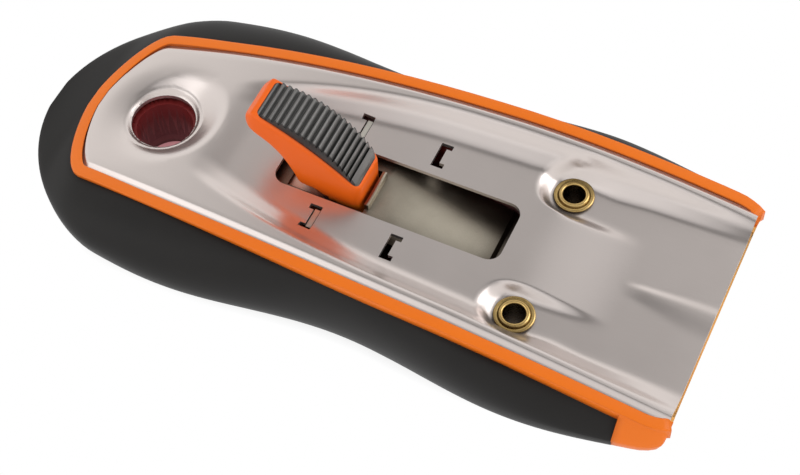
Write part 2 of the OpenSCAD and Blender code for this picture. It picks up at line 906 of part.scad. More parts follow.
// Bent strip that carries the lever at one end and the blade at the other
module blade_carrier() {
    top = [[carrier_rear, carrier_z], [carrier_bend, carrier_z], [carrier_fold_x, carrier_fold_z],
        [carrier_dip_x, carrier_dip_z], [carrier_foot_x, carrier_dip_z], [carrier_rise_x, blade_z],
        [platform_front, blade_z]];
    low = [for (i = [len(top) - 1 : -1 : 0]) [top[i][0], top[i][1] - carrier_t]];
    color(dark_steel)
        difference() {
            union() {
                difference() {
                    profile(concat(top, low), carrier_w);
                    block(mouth_rear, mouth_front, mouth_half, 0, far);
                }
                block(platform_rear, platform_front, platform_half, blade_z - carrier_t, blade_z);
                block(mouth_front, mouth_front + tab_t, tab_half, carrier_z - carrier_t, tab_z);
                for (s = [-1, 1]) {
                    translate([pin_x - ear_r, s * (mouth_half + ear_t / 2) - ear_t / 2, pin_z])
                        cube([2 * ear_r, ear_t, carrier_z - pin_z]);
                    translate([pin_x, s * (mouth_half + ear_t / 2), pin_z])
                        rotate([90, 0, 0])
                            cylinder(h = ear_t, r = ear_r, center = true);
                }
            }
            translate([pin_x, 0, pin_z])
                rotate([90, 0, 0])
                    cylinder(h = far, r = pin_r + shank_gap, center = true);
            for (s = [-1, 1]) {
                translate([rivet_x, s * rivet_y, 0])
                    cylinder(h = far, r = rivet_r + shank_gap);
                translate([stud_x, s * stud_y, 0])
                    cylinder(h = far, r = stud_r + shank_gap);
            }
        }
}

// Leaf spring with two upturned teeth that lock in the windows
module lock_spring() {
    root_z = carrier_z - carrier_t;
    bar_z = root_z - leaf_set;
    top = [[leaf_root - ov, root_z], [x_tooth - bar_len / 2 + ov, bar_z]];
    color(dark_steel)
        difference() {
            union() {
                block(leaf_rear, leaf_root, leaf_root_half, root_z - leaf_t, root_z);
                profile([top[0], top[1], [top[1][0], top[1][1] - leaf_t], [top[0][0], top[0][1] - leaf_t]],
                    2 * leaf_half);
                block(x_tooth - bar_len / 2, x_tooth + bar_len / 2, window_y + tooth_w / 2,
                    bar_z - leaf_t, bar_z);
                for (s = [-1, 1])
                    translate([x_tooth - tooth_t / 2, s * window_y - tooth_w / 2, bar_z - leaf_t])
                        cube([tooth_t, tooth_w, tooth_z - bar_z + leaf_t]);
            }
            for (s = [-1, 1])
                translate([rivet_x, s * rivet_y, 0])
                    cylinder(h = far, r = rivet_r + shank_gap);
        }
}

// Rivets through the carrier and the spring's root
module spring_rivets() {
    low = carrier_z - carrier_t - leaf_t;
    color(steel)
        for (s = [-1, 1])
            translate([rivet_x, s * rivet_y, 0]) {
                translate([0, 0, low - rivet_head_h])
                    cylinder(h = carrier_z - low + 2 * rivet_head_h, r = rivet_r);
                translate([0, 0, low - rivet_head_h])
                    cylinder(h = rivet_head_h, r = rivet_head_r);
                translate([0, 0, carrier_z])
                    cylinder(h = rivet_head_h, r = rivet_head_r);
            }
}

// Studs that carry the blade on the carrier
module blade_pins() {
    low = blade_z - carrier_t;
    color(steel)
        for (s = [-1, 1])
            translate([stud_x, s * stud_y, 0]) {
                translate([0, 0, low - stud_foot_h])
                    cylinder(h = stud_foot_h, r = stud_foot_r);
                translate([0, 0, low - stud_foot_h])
                    cylinder(h = carrier_t + stud_foot_h + blade_t, r = stud_r);
                translate([0, 0, blade_z])
                    cylinder(h = blade_t, r = stud_head_r);
            }
}

// Single-edge blade with two stud holes
module scraper_blade() {
    color(steel)
        difference() {
            profile([[blade_rear_x, blade_z], [blade_tip_x - bevel_run, blade_z],
                [blade_tip_x, blade_z + blade_t / 2], [blade_tip_x - bevel_run, blade_z + blade_t],
                [blade_rear_x, blade_z + blade_t]], blade_w);
            for (s = [-1, 1])
                translate([stud_x, s * stud_y, 0])
                    cylinder(h = far, r = stud_head_r + stud_gap);
        }
}

// Cross pin of the lever
module lever_pin() {
    color(steel)
        translate([pin_x, 0, pin_z])
            rotate([90, 0, 0])
                cylinder(h = 2 * (mouth_half + ear_t + pin_over), r = pin_r, center = true);
}

// Side view of the lever without its pad
module lever_side() {
    intersection() {
        translate([seat_x, seat_z])
            circle(seat_r, $fn = 180);
        polygon(concat(
            [[lever_rear, heel_z], [lever_rear + heel_lean, heel_z + heel_face],
                [lever_rear + heel_lean + heel_round, heel_z + heel_face + heel_round],
                [pad_rear, heel_z + heel_face + lever_over],
                [lever_nose + 2 * lip_lean, heel_z + heel_face + lever_over],
                [lever_nose, lip_z], [lever_nose - lip_lean, pin_z], [pin_x, pin_z - boss_r],
                [x_tooth + nub_r, nub_front_z], [x_tooth - nub_r, nub_rear_z]],
            [for (p = lever_under) [x_tooth - p[0], nub_z + p[1]]]));
    }
    translate([pin_x, pin_z])
        circle(boss_r);
    translate([x_tooth, nub_z])
        circle(nub_r);
}

// Orange thumb lever
module thumb_lever() {
    color(orange)
        difference() {
            intersection() {
                rotate([90, 0, 0])
                    linear_extrude(lever_w, center = true)
                        lever_side();
                linear_extrude(far)
                    rounded(lever_rear, lever_nose + lever_plan_over, lever_w / 2, lever_r);
            }
            rotate([90, 0, 0])
                linear_extrude(pad_w + 2 * pad_gap, center = true)
                    difference() {
                        translate([pad_rear - pad_gap, nub_z])
                            square([pad_front - pad_rear + 2 * pad_gap, far]);
                        translate([seat_x, seat_z])
                            circle(seat_r - pad_sink, $fn = 180);
                    }
            translate([pin_x, 0, pin_z])
                rotate([90, 0, 0])
                    cylinder(h = far, r = pin_r + pivot_gap, center = true);
        }
}

// Ribbed rubber pad
module lever_pad() {
    color(rubber)
        difference() {
            rotate([90, 0, 0])
                linear_extrude(pad_w, center = true)
                    difference() {
                        intersection() {
                            translate([pad_x, pad_z])
                                circle(pad_r, $fn = 180);
                            translate([pad_rear, nub_z])
                                square([pad_front - pad_rear, far]);
                        }
                        translate([seat_x, seat_z])
                            circle(seat_r - pad_sink, $fn = 180);
                    }
            for (i = [0 : pad_grooves - 1])
                translate([pad_x, 0, pad_z])
                    rotate([0, groove_first + groove_step * i, 0])
                        translate([0, 0, pad_r])
                            rotate([90, 0, 0])
                                cylinder(h = far, r = groove_r, center = true, $fn = 24);
        }
}

handle_core();
grip_cover();
cover_plate();
eyelet_left();
eyelet_right();
washer_left();
washer_right();
blade_carrier();
lock_spring();
spring_rivets();
blade_pins();
scraper_blade();
lever_pin();
thumb_lever();
lever_pad();
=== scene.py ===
# %% [markdown]
# # A window scraper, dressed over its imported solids
#
# The tool is a palm-sized scraper for glass. A pressed steel plate lies in an orange core, a black rubber
# grip is moulded round the core, and a blade slides out of the nose when the thumb lever is pushed. The
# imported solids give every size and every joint, so this lesson only adds what a solid model leaves plain:
# fine pressed curves, rounded edges, ribs and finishes. Lengths are written in millimetres and turned into
# Blender's metres at the last moment. X runs to the blade, Y to the far side and Z up.

# %% Load the frame
import json
import math

import bpy
from mathutils import Matrix, Vector


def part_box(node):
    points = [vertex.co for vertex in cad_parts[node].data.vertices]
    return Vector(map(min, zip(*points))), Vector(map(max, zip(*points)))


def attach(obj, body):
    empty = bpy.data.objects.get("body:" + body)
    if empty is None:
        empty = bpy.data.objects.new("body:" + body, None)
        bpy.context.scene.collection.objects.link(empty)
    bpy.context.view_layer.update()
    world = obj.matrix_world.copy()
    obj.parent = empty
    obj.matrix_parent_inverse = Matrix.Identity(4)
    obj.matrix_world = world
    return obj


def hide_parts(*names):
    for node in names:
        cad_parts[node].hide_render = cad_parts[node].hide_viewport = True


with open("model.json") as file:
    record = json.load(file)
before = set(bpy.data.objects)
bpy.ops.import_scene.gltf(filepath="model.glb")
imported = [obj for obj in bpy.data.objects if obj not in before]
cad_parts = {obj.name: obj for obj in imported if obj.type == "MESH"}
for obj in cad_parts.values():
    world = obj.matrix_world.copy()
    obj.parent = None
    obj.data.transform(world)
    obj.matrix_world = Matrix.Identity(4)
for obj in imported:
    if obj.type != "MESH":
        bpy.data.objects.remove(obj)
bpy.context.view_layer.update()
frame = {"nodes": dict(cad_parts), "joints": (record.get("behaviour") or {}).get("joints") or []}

nodes = frame["nodes"]
MM = 0.001

# %% [markdown]
# ## Picking and closing a piece
#
# Every operator in Blender works on what is selected, so a piece is always picked alone first, as a hand
# would click on it. A fresh skin often has points that lie on each other where its ends meet. Merging them
# and filling what is still open makes one closed shell, and only a closed shell can be cut cleanly later.

# %% Pick a piece and close its skin
POINT_GAP, SEAM_GAP, COPY_GAP = 1e-7, 1e-6, 2e-6


def pick(piece):
    """Select one piece alone, or nothing at all."""
    bpy.ops.object.select_all(action="DESELECT")
    if piece:
        piece.select_set(True)
        bpy.context.view_layer.objects.active = piece


def edit(piece):
    """Open one piece in edit mode, with all of it selected."""
    pick(piece)
    bpy.ops.object.mode_set(mode="EDIT")
    bpy.ops.mesh.select_all(action="SELECT")


def close_up(piece, gap=POINT_GAP):
    """Merge points that meet, fill the open ends and turn every face outwards."""
    edit(piece)
    bpy.ops.mesh.remove_doubles(threshold=gap)
    bpy.ops.mesh.fill_holes(sides=0)
    bpy.ops.mesh.select_all(action="SELECT")
    bpy.ops.mesh.normals_make_consistent(inside=False)
    bpy.ops.object.mode_set(mode="OBJECT")
    return piece


print("points become one below %.4f mm, or %.3f mm at a seam" % (POINT_GAP / MM, SEAM_GAP / MM))

# %% [markdown]
# ## The lines of the tool
#
# The plate, the rim and the grip share a few curves: the arch of the plate's edge, its plan, and the way
# their ends round off. They could be traced again for every piece, but then the pieces would not quite
# meet. They are written once instead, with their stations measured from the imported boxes.

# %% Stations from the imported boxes
def millimetres(node):
    low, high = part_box(node)
    return low / MM, high / MM


X_REAR, X_NOSE = (corner.x for corner in millimetres("grip_cover"))
X_PLATE_REAR, X_FRONT = (corner.x for corner in millimetres("cover_plate"))
X_TIP = X_FRONT + 0.65
X_CREST = X_FRONT - 44.8
PLATE_LEN = X_FRONT - X_PLATE_REAR
eyelet_low, eyelet_high = millimetres("eyelet_left")
X_EYELET, Y_EYELET = (eyelet_low.x + eyelet_high.x) / 2, (eyelet_low.y + eyelet_high.y) / 2
TRACK_Z = 19.0
print("plate %.1f mm long, tool %.1f mm long" % (PLATE_LEN, X_TIP - X_REAR))

# %% [markdown]
# The plate's edge is a long arch that falls faster at the rear than at the front, and its plan narrows to
# the rear and closes there in a blunt curve. Powers of the way along give such lines with few numbers,
# where a drawn curve would need many points.

# %% Curves shared by the skins
ARCH_RISE, FRONT_DROP, FRONT_BEND, REAR_DROP, REAR_BEND = 3.1, 4.3, 1.66, 8.25, 2.49
PLATE_HALF, PLATE_TAPER, TAPER_BEND = 23, 7.95, 2.27
CORNER_GAP, CORNER_RUN, CORNER_POWER = 0.15, 6, 1.6
NOSE_RUN, NOSE_TUCK = 5, 2.7


def ease(t):
    """A smooth step from 0 to 1."""
    c = min(1.0, max(0.0, t))
    return c * c * (3 - 2 * c)


def end_round(x, rear, run, power):
    """0 at the rear, 1 after the run, and a rounded end between."""
    if x >= rear + run:
        return 1.0
    return max(0.0, 1 - ((rear + run - x) / run) ** power) ** (1 / power)


def arch(x):
    """Height of the plate's edge."""
    front = max(0.0, x - X_CREST) / (X_FRONT - X_CREST)
    rear = max(0.0, X_CREST - x) / (X_CREST - X_PLATE_REAR)
    return TRACK_Z + ARCH_RISE - FRONT_DROP * front ** FRONT_BEND - REAR_DROP * rear ** REAR_BEND


def plate_side(x):
    return PLATE_HALF - PLATE_TAPER * (max(0.0, X_FRONT - x) / PLATE_LEN) ** TAPER_BEND


def plate_close(x, grow):
    return end_round(x, X_PLATE_REAR - CORNER_GAP - grow, CORNER_RUN + grow, CORNER_POWER)


def plate_half(x, grow):
    """Half-width of the plate, grown outwards by some millimetres."""
    return (plate_side(x) + grow) * plate_close(x, grow)


def nose_end(x):
    """0 along the tool, rising to 1 in a quarter round at the very tip."""
    t = min(1.0, max(0.0, (x - X_TIP + NOSE_RUN) / NOSE_RUN))
    return 1 - math.sqrt(1 - t * t)


print("edge %.2f mm high at its crest, %.2f mm at the front" % (arch(X_CREST), arch(X_FRONT)))

# %% [markdown]
# ## The cover plate
#
# The plate is one stainless sheet, pressed: rolled side rails, a long flat track, two pockets for the
# eyelets, a raised tongue between them, a small rib at the front and a dish round the hang hole. It could
# be cut out of boxes, but a pressing is a height over a plan, so that height is built up here form by form.
# The first form is the pan between the rails, with the wall that rises from it to each rail.

# %% Pan and walls
X_PAN_TAPER, X_PAN_REAR = X_FRONT - 53.35, X_FRONT - 96.35
PAN_LEAST, RAIL_W, PAN_BEND = 0.45, 3.3, 0.0025
WALL_IN, WALL_OUT, WALL_SHARE = 4.6, 1.6, 0.4
WALL_THIN, THIN_BACK, THIN_RUN = 0.8, 29, 13
WALL_BRIM, BRIM_REACH = 1.2, 9
GENTLE_SHARE, GENTLE_RUN, GENTLE_FOOT, GENTLE_HEAD = 0.74, 0.97, 0.3, 0.12
STEEP_SHARE, STEEP_FROM, STEEP_RUN, STEEP_FOOT, STEEP_HEAD = 0.26, 0.55, 0.45, 0.35, 0.45


def pan_half(x):
    side = plate_side(x)
    return max(PAN_LEAST * side, side - RAIL_W - PAN_BEND * max(0.0, X_PAN_TAPER - x) ** 2)


def wall_in(x):
    """How far the wall's foot reaches into the pan: less at the front, and less beside the eyelets."""
    brim = ease(1 - abs(x - X_EYELET) / BRIM_REACH)
    thin = WALL_THIN * ease((x - X_FRONT + THIN_BACK) / THIN_RUN)
    return min(WALL_IN - thin - WALL_BRIM * brim, WALL_SHARE * pan_half(x))


def ramp_up(t, foot, head):
    """A straight slope from 0 to 1 with a fillet at its foot and at its head."""
    t, slope = min(1.0, max(0.0, t)), 1 / (1 - foot / 2 - head / 2)
    if t < foot:
        return slope * t * t / (2 * foot)
    if t > 1 - head:
        return 1 - slope * (1 - t) ** 2 / (2 * head)
    return slope * (t - foot / 2)


def wall_rise(t):
    """A gentle wall that stands up more steeply just below the rolled edge."""
    gentle = ramp_up(t / GENTLE_RUN, GENTLE_FOOT, GENTLE_HEAD)
    steep = ramp_up((t - STEEP_FROM) / STEEP_RUN, STEEP_FOOT, STEEP_HEAD)
    return GENTLE_SHARE * gentle + STEEP_SHARE * steep


print("pan %.1f mm across at the eyelets, its walls %.1f mm wide" % (
    2 * pan_half(X_EYELET), wall_in(X_EYELET) + WALL_OUT))

# %% [markdown]
# The track falls towards the front, late in the middle and earlier at the sides. What stays high in the
# middle is the tongue, and the two low places beside it are the pockets in which the eyelets sit. A share
# of low from 0 to 1 carries both, so that the sheet stays one smooth surface where they meet.

# %% Track, tongue and pockets
X_TONGUE, X_RIDGE = X_FRONT - 25.6, X_FRONT - 17.3
PRESS_DEEP, TONGUE_SHARE, TONGUE_RUN = 2.1, 0.53, 20.5
FALL_FAR, FALL_NEAR = 0.15, 0.12
POCKET_R, POCKET_RUN = 5.4, 3.5
PAN_EASE_BACK, PAN_EASE_RUN = 3, 8.5
ROLL_W, ROLL_CROWN = 1.3, 0.6
RIDGE_HIGH, RIDGE_RUN, RIDGE_FLARE, RIDGE_NEAR = 0.3, 5, 1.2, 2.4


def sheet_z(x, y):
    """Height of the sheet; the tongue ends more sharply on its near side, where y is negative."""
    pan, side = pan_half(x), plate_side(x)
    fall = FALL_FAR if y > 0 else FALL_NEAR
    y = abs(y)
    tongue = ease((TONGUE_SHARE * pan - y) / (fall * pan))
    bow = math.sqrt(max(0.0, POCKET_R ** 2 - (y - Y_EYELET) ** 2))
    pocket = ease((x - X_EYELET + bow) / POCKET_RUN + 0.5)
    low = tongue * ease((x - X_TONGUE) / TONGUE_RUN + 0.5) + (1 - tongue) * pocket
    wall = 1 - wall_rise((y - pan + wall_in(x)) / (wall_in(x) + WALL_OUT))
    wall *= ease((x - X_PAN_REAR + PAN_EASE_BACK) / PAN_EASE_RUN)
    rail = arch(x) + ROLL_CROWN * ease((side - y) / ROLL_W)
    return rail * (1 - wall) + (TRACK_Z - PRESS_DEEP * low) * wall


def ridge_z(x, y):
    """The rib at the front, steeper on its far flank than on its near one."""
    flare = 1 + RIDGE_FLARE * ease((x - X_RIDGE) / (X_FRONT - X_RIDGE))
    wide = flare * (1 if y > 0 else RIDGE_NEAR)
    return RIDGE_HIGH * ease((x - X_RIDGE) / RIDGE_RUN) * ease(1 - abs(y) / wide)


print("sheet %.2f mm high at its crest, %.2f mm beside an eyelet" % (
    sheet_z(X_CREST, 0), sheet_z(X_EYELET, Y_EYELET)))

# %% [markdown]
# The sheet dips to the hang hole in a round dish: a wall, a narrow ledge and a collar that goes down into
# the hole. The lower of the two heights holds at each point, and a soft minimum rounds the line where they
# meet, as a press tool would.

# %% Dish round the hang hole
X_HANG, HANG_R = X_FRONT - 109.15, 6.0
DISH_Z, DISH_R, DISH_SLOPE, DISH_SOFT = TRACK_Z - 4.7, 7.5, 0.85, 1.0
LEDGE_HIGH, LEDGE_RUN = 1.25, 1.3
SINK_DEEP, SINK_REACH = 2.4, 13
PAN_STOPS = (0.14, 0.395, 0.5)


def soft_min(a, b, width):
    h = min(1.0, max(0.0, 0.5 + 0.5 * (a - b) / width))
    return a + (b - a) * h - width * h * (1 - h)


def dish_z(reach):
    """Height of the dish at a distance from the middle of the hang hole."""
    return DISH_Z + LEDGE_HIGH * ease((reach - HANG_R) / LEDGE_RUN) + DISH_SLOPE * max(0.0, reach - DISH_R)


def plate_point(x, share):
    """A point of the sheet at a share of its half-width, from -1 to 1."""
    pan, side = pan_half(x), plate_side(x)
    stops = [0, *(stop * pan for stop in PAN_STOPS), pan - wall_in(x), pan + WALL_OUT, side - ROLL_W, side]
    t = abs(share) * (len(stops) - 1)
    k = min(int(t), len(stops) - 2)
    y = stops[k] + (stops[k + 1] - stops[k]) * (t - k)
    z = sheet_z(x, math.copysign(y, share)) + ridge_z(x, math.copysign(y, share))
    y *= plate_close(x, 0)
    reach = math.hypot(x - X_HANG, y)
    z -= SINK_DEEP * ease(1 - reach / SINK_REACH)
    z = soft_min(z, dish_z(reach), DISH_SOFT)
    return x, math.copysign(y, share), z


print("dish %.2f mm high at its collar" % dish_z(HANG_R))

# %% [markdown]
# ## Stations of the sheet
#
# The sheet will be a grid of points. An even grid would need to be fine all over, so its lines are drawn
# closer where the metal bends most: across the tool at the eyelets and the dish, along it at the walls and
# rolled edges, and closest of all at the rear, where the outline turns.

# %% Stations of the sheet
SHEET_T, EYELET_ROOM = 0.8, 8
REAR_STEPS, SHARE_STEPS = 14, (7, 8, 8, 8, 14, 5, 7, 0)


def spread(stops):
    """Stations between stops of (place, steps to the next stop)."""
    out = []
    for (a, steps), (b, _) in zip(stops, stops[1:]):
        out += [a + (b - a) * i / steps for i in range(steps)]
    return out + [stops[-1][0]]


def closer_at_rear(rear, run, steps):
    """Stations over a run from the rear, closest where the outline turns across the tool."""
    return [rear + run * (1 - math.cos(math.radians(90 * i / steps))) for i in range(steps)]


sheet_xs = closer_at_rear(X_PLATE_REAR, CORNER_RUN, REAR_STEPS)
sheet_xs += spread([(X_PLATE_REAR + CORNER_RUN, 66), (X_HANG + SINK_REACH, 56),
                    (X_EYELET - EYELET_ROOM, 34), (X_EYELET + EYELET_ROOM, 36), (X_FRONT, 0)])
half = spread([(k / 7, steps) for k, steps in enumerate(SHARE_STEPS)])
shares = [-share for share in half[:0:-1]] + half
print("sheet of", len(sheet_xs), "by", len(shares), "points")

# %% [markdown]
# ## Pressing the sheet
#
# A flat grid is the sheet before the press, and moving its points to the height above is the stroke of the
# press. Sculpting could do it too, but not as evenly. Solidify then gives the skin the thickness of the
# real sheet.

# %% Press the sheet
def pressed_grid(name, us, vs, place):
    """A grid whose points go where place(u, v) says, in millimetres."""
    pick(None)
    across, along = len(us) - 1, len(vs) - 1
    bpy.ops.mesh.primitive_grid_add(x_subdivisions=across, y_subdivisions=along, size=2)
    piece = bpy.context.object
    piece.name = name
    for point in piece.data.vertices:
        i = round((point.co.x + 1) / 2 * across)
        j = round((point.co.y + 1) / 2 * along)
        point.co = Vector(place(us[i], vs[j])) * MM
    piece.data.update()
    return piece


def apply(piece, kind, **settings):
    """Add a modifier with these settings, and make its result the mesh."""
    pick(piece)
    step = piece.modifiers.new(kind.lower(), kind)
    for name, value in settings.items():
        setattr(step, name, value)
    bpy.ops.object.modifier_apply(modifier=step.name)


plate = pressed_grid("cover_plate_skin", sheet_xs, shares, plate_point)
apply(plate, "SOLIDIFY", thickness=SHEET_T * MM, offset=-1)
close_up(plate)
print("pressed sheet:", len(plate.data.polygons), "faces")

# %% [markdown]
# ## Punches
#
# Slot, windows and holes are punched out of the real sheet. A punch is the same all the way down, so it
# starts as a filled circle whose points are moved to its outline, and is then extruded. Cutting the
# outlines into the grid by hand would also work, but a solid punch can be reused for every other cut on the
# tool.

# %% An outline that is extruded
def prism(name, outline, low, high, along="Y"):
    """Outline points are (x, z) for a prism along Y, or (x, y) for one along Z."""
    pick(None)
    bpy.ops.mesh.primitive_circle_add(vertices=len(outline), fill_type="NGON")
    piece = bpy.context.object
    piece.name = name
    for point, (a, b) in zip(piece.data.vertices, outline):
        point.co = Vector((a, low, b) if along == "Y" else (a, b, low)) * MM
    edit(piece)
    rise = (high - low) * MM
    move = (0, rise, 0) if along == "Y" else (0, 0, rise)
    bpy.ops.mesh.extrude_region_move(TRANSFORM_OT_translate={"value": move})
    bpy.ops.object.mode_set(mode="OBJECT")
    return close_up(piece)


def arc(centre, radius, start, stop, steps):
    """Points on an arc, with angles in degrees."""
    turns = [math.radians(start + (stop - start) * i / steps) for i in range(steps + 1)]
    return [(centre[0] + radius * math.cos(t), centre[1] + radius * math.sin(t)) for t in turns]


def circle(centre, radius, points=48):
    return arc(centre, radius, 0, 360 - 360 / points, points - 1)


def rounded_box(x0, x1, half_width, radius, steps=8):
    inner = half_width - radius
    corners = ((x1 - radius, inner, 0), (x0 + radius, inner, 90),
               (x0 + radius, -inner, 180), (x1 - radius, -inner, 270))
    return [p for x, y, a in corners for p in arc((x, y), radius, a, a + 90, steps)]


print("a round punch has", len(circle((0, 0), HANG_R)), "points")

# %% [markdown]
# ## Cutting and finishing
#
# An exact boolean takes one closed piece out of another, or adds it. Where two surfaces cross at a flat
# angle it leaves slivers that the eye doesn't see but that spoil a printed mesh, so each piece is cleaned
# afterwards. A narrow bevel gives cut edges the thin bright line that sheared metal has, and smooth shading
# hides the facets.

# %% Cut, round, clean and shade a piece
def combine(piece, other, operation):
    """Cut or add another piece, which is used up."""
    apply(piece, "BOOLEAN", operation=operation, object=other, solver="EXACT", use_hole_tolerant=True)
    bpy.data.objects.remove(other, do_unlink=True)


def join(pieces, name):
    pick(pieces[0])
    for piece in pieces:
        piece.select_set(True)
    bpy.ops.object.join()
    pieces[0].name = name
    return pieces[0]


def round_edges(piece, width, segments, angle):
    apply(piece, "BEVEL", width=width * MM, segments=segments, limit_method="ANGLE",
          angle_limit=math.radians(angle), use_clamp_overlap=True)


def clean(piece, gap=SEAM_GAP):
    """Take out the slivers that a cut or a bevel leaves; its faces already point outwards."""
    edit(piece)
    bpy.ops.mesh.remove_doubles(threshold=gap)
    bpy.ops.mesh.quads_convert_to_tris(quad_method="BEAUTY", ngon_method="BEAUTY")
    bpy.ops.mesh.remove_doubles(threshold=gap)
    bpy.ops.mesh.dissolve_degenerate(threshold=gap)
    bpy.ops.mesh.delete_loose(use_verts=True, use_edges=True, use_faces=False)
    bpy.ops.object.mode_set(mode="OBJECT")


def shade(piece, angle):
    pick(piece)
    bpy.ops.object.shade_smooth_by_angle(angle=math.radians(angle))


print("slivers below %.3f mm are taken out" % (SEAM_GAP / MM))

# %% [markdown]
# ## Slot, windows and holes
#
# The lever stands in the long slot, and the spring's teeth lock in two pairs of small windows, one pair for
# the blade drawn in and one for the blade out. The pairs lie one stroke of the blade apart, and that stroke
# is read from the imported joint, so the windows can't drift away from it. One cut takes all punches out
# together.

# %% Punch the plate
X_TOOTH = X_FRONT - 71.68
STROKE = frame["joints"][0]["range_m"][1] / MM
SLOT_FRONT, SLOT_LEN, SLOT_HALF, SLOT_CORNER = X_FRONT - 38.15, 44.4, 6.4, 2.5
WINDOW_Y, WINDOW_HALF, BAR_HALF, WINDOW_LEN, ARM = 10.9, 2.71, 0.68, 2.36, 1.05
PUNCH_LOW, PUNCH_TOP, HANG_LOW = 12, 26, 5
EYELET_HOLE, HANG_HOLE = 2.6, HANG_R + 0.12


def window_outline(x, y, way):
    """A bar across the tool with two short arms that point one way along it."""
    tip, bar = x + way * (WINDOW_LEN - BAR_HALF), BAR_HALF * way
    top, low = y + WINDOW_HALF, y - WINDOW_HALF
    return [(x - bar, low), (tip, low), (tip, low + ARM), (x + bar, low + ARM),
            (x + bar, top - ARM), (tip, top - ARM), (tip, top), (x - bar, top)]


def punch(outline, low=PUNCH_LOW):
    return prism("punch", outline, low, PUNCH_TOP, "Z")


punches = [punch(rounded_box(SLOT_FRONT - SLOT_LEN, SLOT_FRONT, SLOT_HALF, SLOT_CORNER))]
for side in (-1, 1):
    for x, way in ((X_TOOTH, -1), (X_TOOTH + STROKE, 1)):
        punches.append(punch(window_outline(x, side * WINDOW_Y, way)))
    punches.append(punch(circle((X_EYELET, side * Y_EYELET), EYELET_HOLE)))
punches.append(punch(circle((X_HANG, 0), HANG_HOLE, 120), HANG_LOW))
combine(plate, join(punches, "punches"), "DIFFERENCE")
round_edges(plate, 0.09, segments=2, angle=50)
clean(plate)
shade(plate, 40)
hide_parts("cover_plate")
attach(plate, "handle")
print("cover plate:", len(plate.data.polygons), "faces")

# %% [markdown]
# ## The eyelets
#
# Each eyelet is a brass tube whose end was rolled over: a flat brim, a shallow groove and a rounded lip
# round the hole. It is turned, so one half-section is carried round the eyelet's axis. Spin does that too,
# but a grid that is bent into a ring keeps the places of its points in one short formula.

# %% Turned eyelets
def turned(name, profile, centre, steps=72):
    """A ring from a closed half-section of (radius, height) points."""
    def place(i, j):
        angle = 2 * math.pi * i / steps
        radius, height = profile[j % len(profile)]
        return centre[0] + radius * math.cos(angle), centre[1] + radius * math.sin(angle), height

    ring = pressed_grid(name, list(range(steps + 1)), list(range(len(profile) + 1)), place)
    return close_up(ring, SEAM_GAP)


SEAT_Z, FOOT_Z = TRACK_Z - PRESS_DEEP, eyelet_low.z
TUBE_IN, TUBE_OUT, FLARE_R, FLARE_T = 2.0, 2.55, 3.5, 0.7
BRIM_MID, BRIM_R, LIP_MID, LIP_UP, LIP_R = 3.42, 0.3, 2.42, 0.55, 0.42
GROOVE = ((3.1, 0.56), (2.92, 0.47))
eyelet_view = [(TUBE_IN, FOOT_Z), (FLARE_R, FOOT_Z), (FLARE_R, FOOT_Z + FLARE_T),
               (TUBE_OUT, FOOT_Z + FLARE_T), (TUBE_OUT, SEAT_Z)]
eyelet_view += arc((BRIM_MID, SEAT_Z + BRIM_R), BRIM_R, -90, 90, 8)
eyelet_view += [(radius, SEAT_Z + up) for radius, up in GROOVE]
eyelet_view += arc((LIP_MID, SEAT_Z + LIP_UP), LIP_R, 10, 180, 10)
eyelets = []
for name, side in (("left", 1), ("right", -1)):
    eyelet = turned("eyelet_skin_" + name, eyelet_view, (X_EYELET, side * Y_EYELET))
    shade(eyelet, 50)
    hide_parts("eyelet_" + name)
    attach(eyelet, "handle")
    eyelets.append(eyelet)
print("eyelets:", [len(eyelet.data.polygons) for eyelet in eyelets])

# %% [markdown]
# ## The rubber grip
#
# The grip is a soft overmould that swells at the palm, draws in at the waist and lifts off the table
# towards the nose. Four lines along the tool describe it: its upper edge, its belly, its half-width and the
# height at which it is widest. A sculpted skin would do as well, but these lines keep it on the solid.

# %% Lines of the grip
RIM_W = 2.3
GRIP_DROP, DROP_LEAST, DROP_GAIN, DROP_BACK, DROP_RUN = 1.2, 0.1, 0.9, 111.35, 55
BELLY_BACK, BELLY_RISE, BELLY_NOSE = 51.6, 5.8, 2.1
SWELL_HALF, SWELL_WAVE, SWELL_BACK, SWELL_LEN = 28.2, 1.8, 94.75, 69.5
REAR_GAP, REAR_RUN, REAR_POWER, TOP_RUN, LOW_RUN = 0.25, 24.5, 1.88, 17, 20
MID_Z, MID_TILT = 12.5, 0.035


def grip_top(x):
    return arch(x) - GRIP_DROP * (DROP_LEAST + DROP_GAIN * ease((x - X_FRONT + DROP_BACK) / DROP_RUN))


def belly(x):
    rise = max(0.0, x - X_FRONT + BELLY_BACK) / (X_NOSE - X_FRONT + BELLY_BACK)
    return BELLY_RISE * rise ** 2 + BELLY_NOSE * nose_end(x)


def swell(x):
    wave = SWELL_HALF + SWELL_WAVE * math.cos(2 * math.pi * (x - X_FRONT + SWELL_BACK) / SWELL_LEN)
    return wave * end_round(x, X_REAR - REAR_GAP, REAR_RUN, REAR_POWER) - NOSE_TUCK * nose_end(x)


def mid_z(x):
    return MID_Z + MID_TILT * x


print("grip %.1f mm across at the palm" % (2 * swell(X_FRONT - SWELL_BACK)))

# %% [markdown]
# A section goes from the middle of the top round the shoulder and the hip to the middle of the underside.
# Only the far half is worked out, because the near one mirrors it. Rings of these points, one at each
# station, make the skin: a loft, as a boat builder draws a hull from its ribs.

# %% Sections, and the skin over them
NOSE_FLAT, NOSE_FLAT_RUN, LEAST_W = 0.7, 24, 0.3
FOOT_SHARE, FOOT_DRAW, FOOT_BACK, FOOT_RUN = 0.42, 0.12, 82.475, 30.875
GRIP_TUCK = 0.7


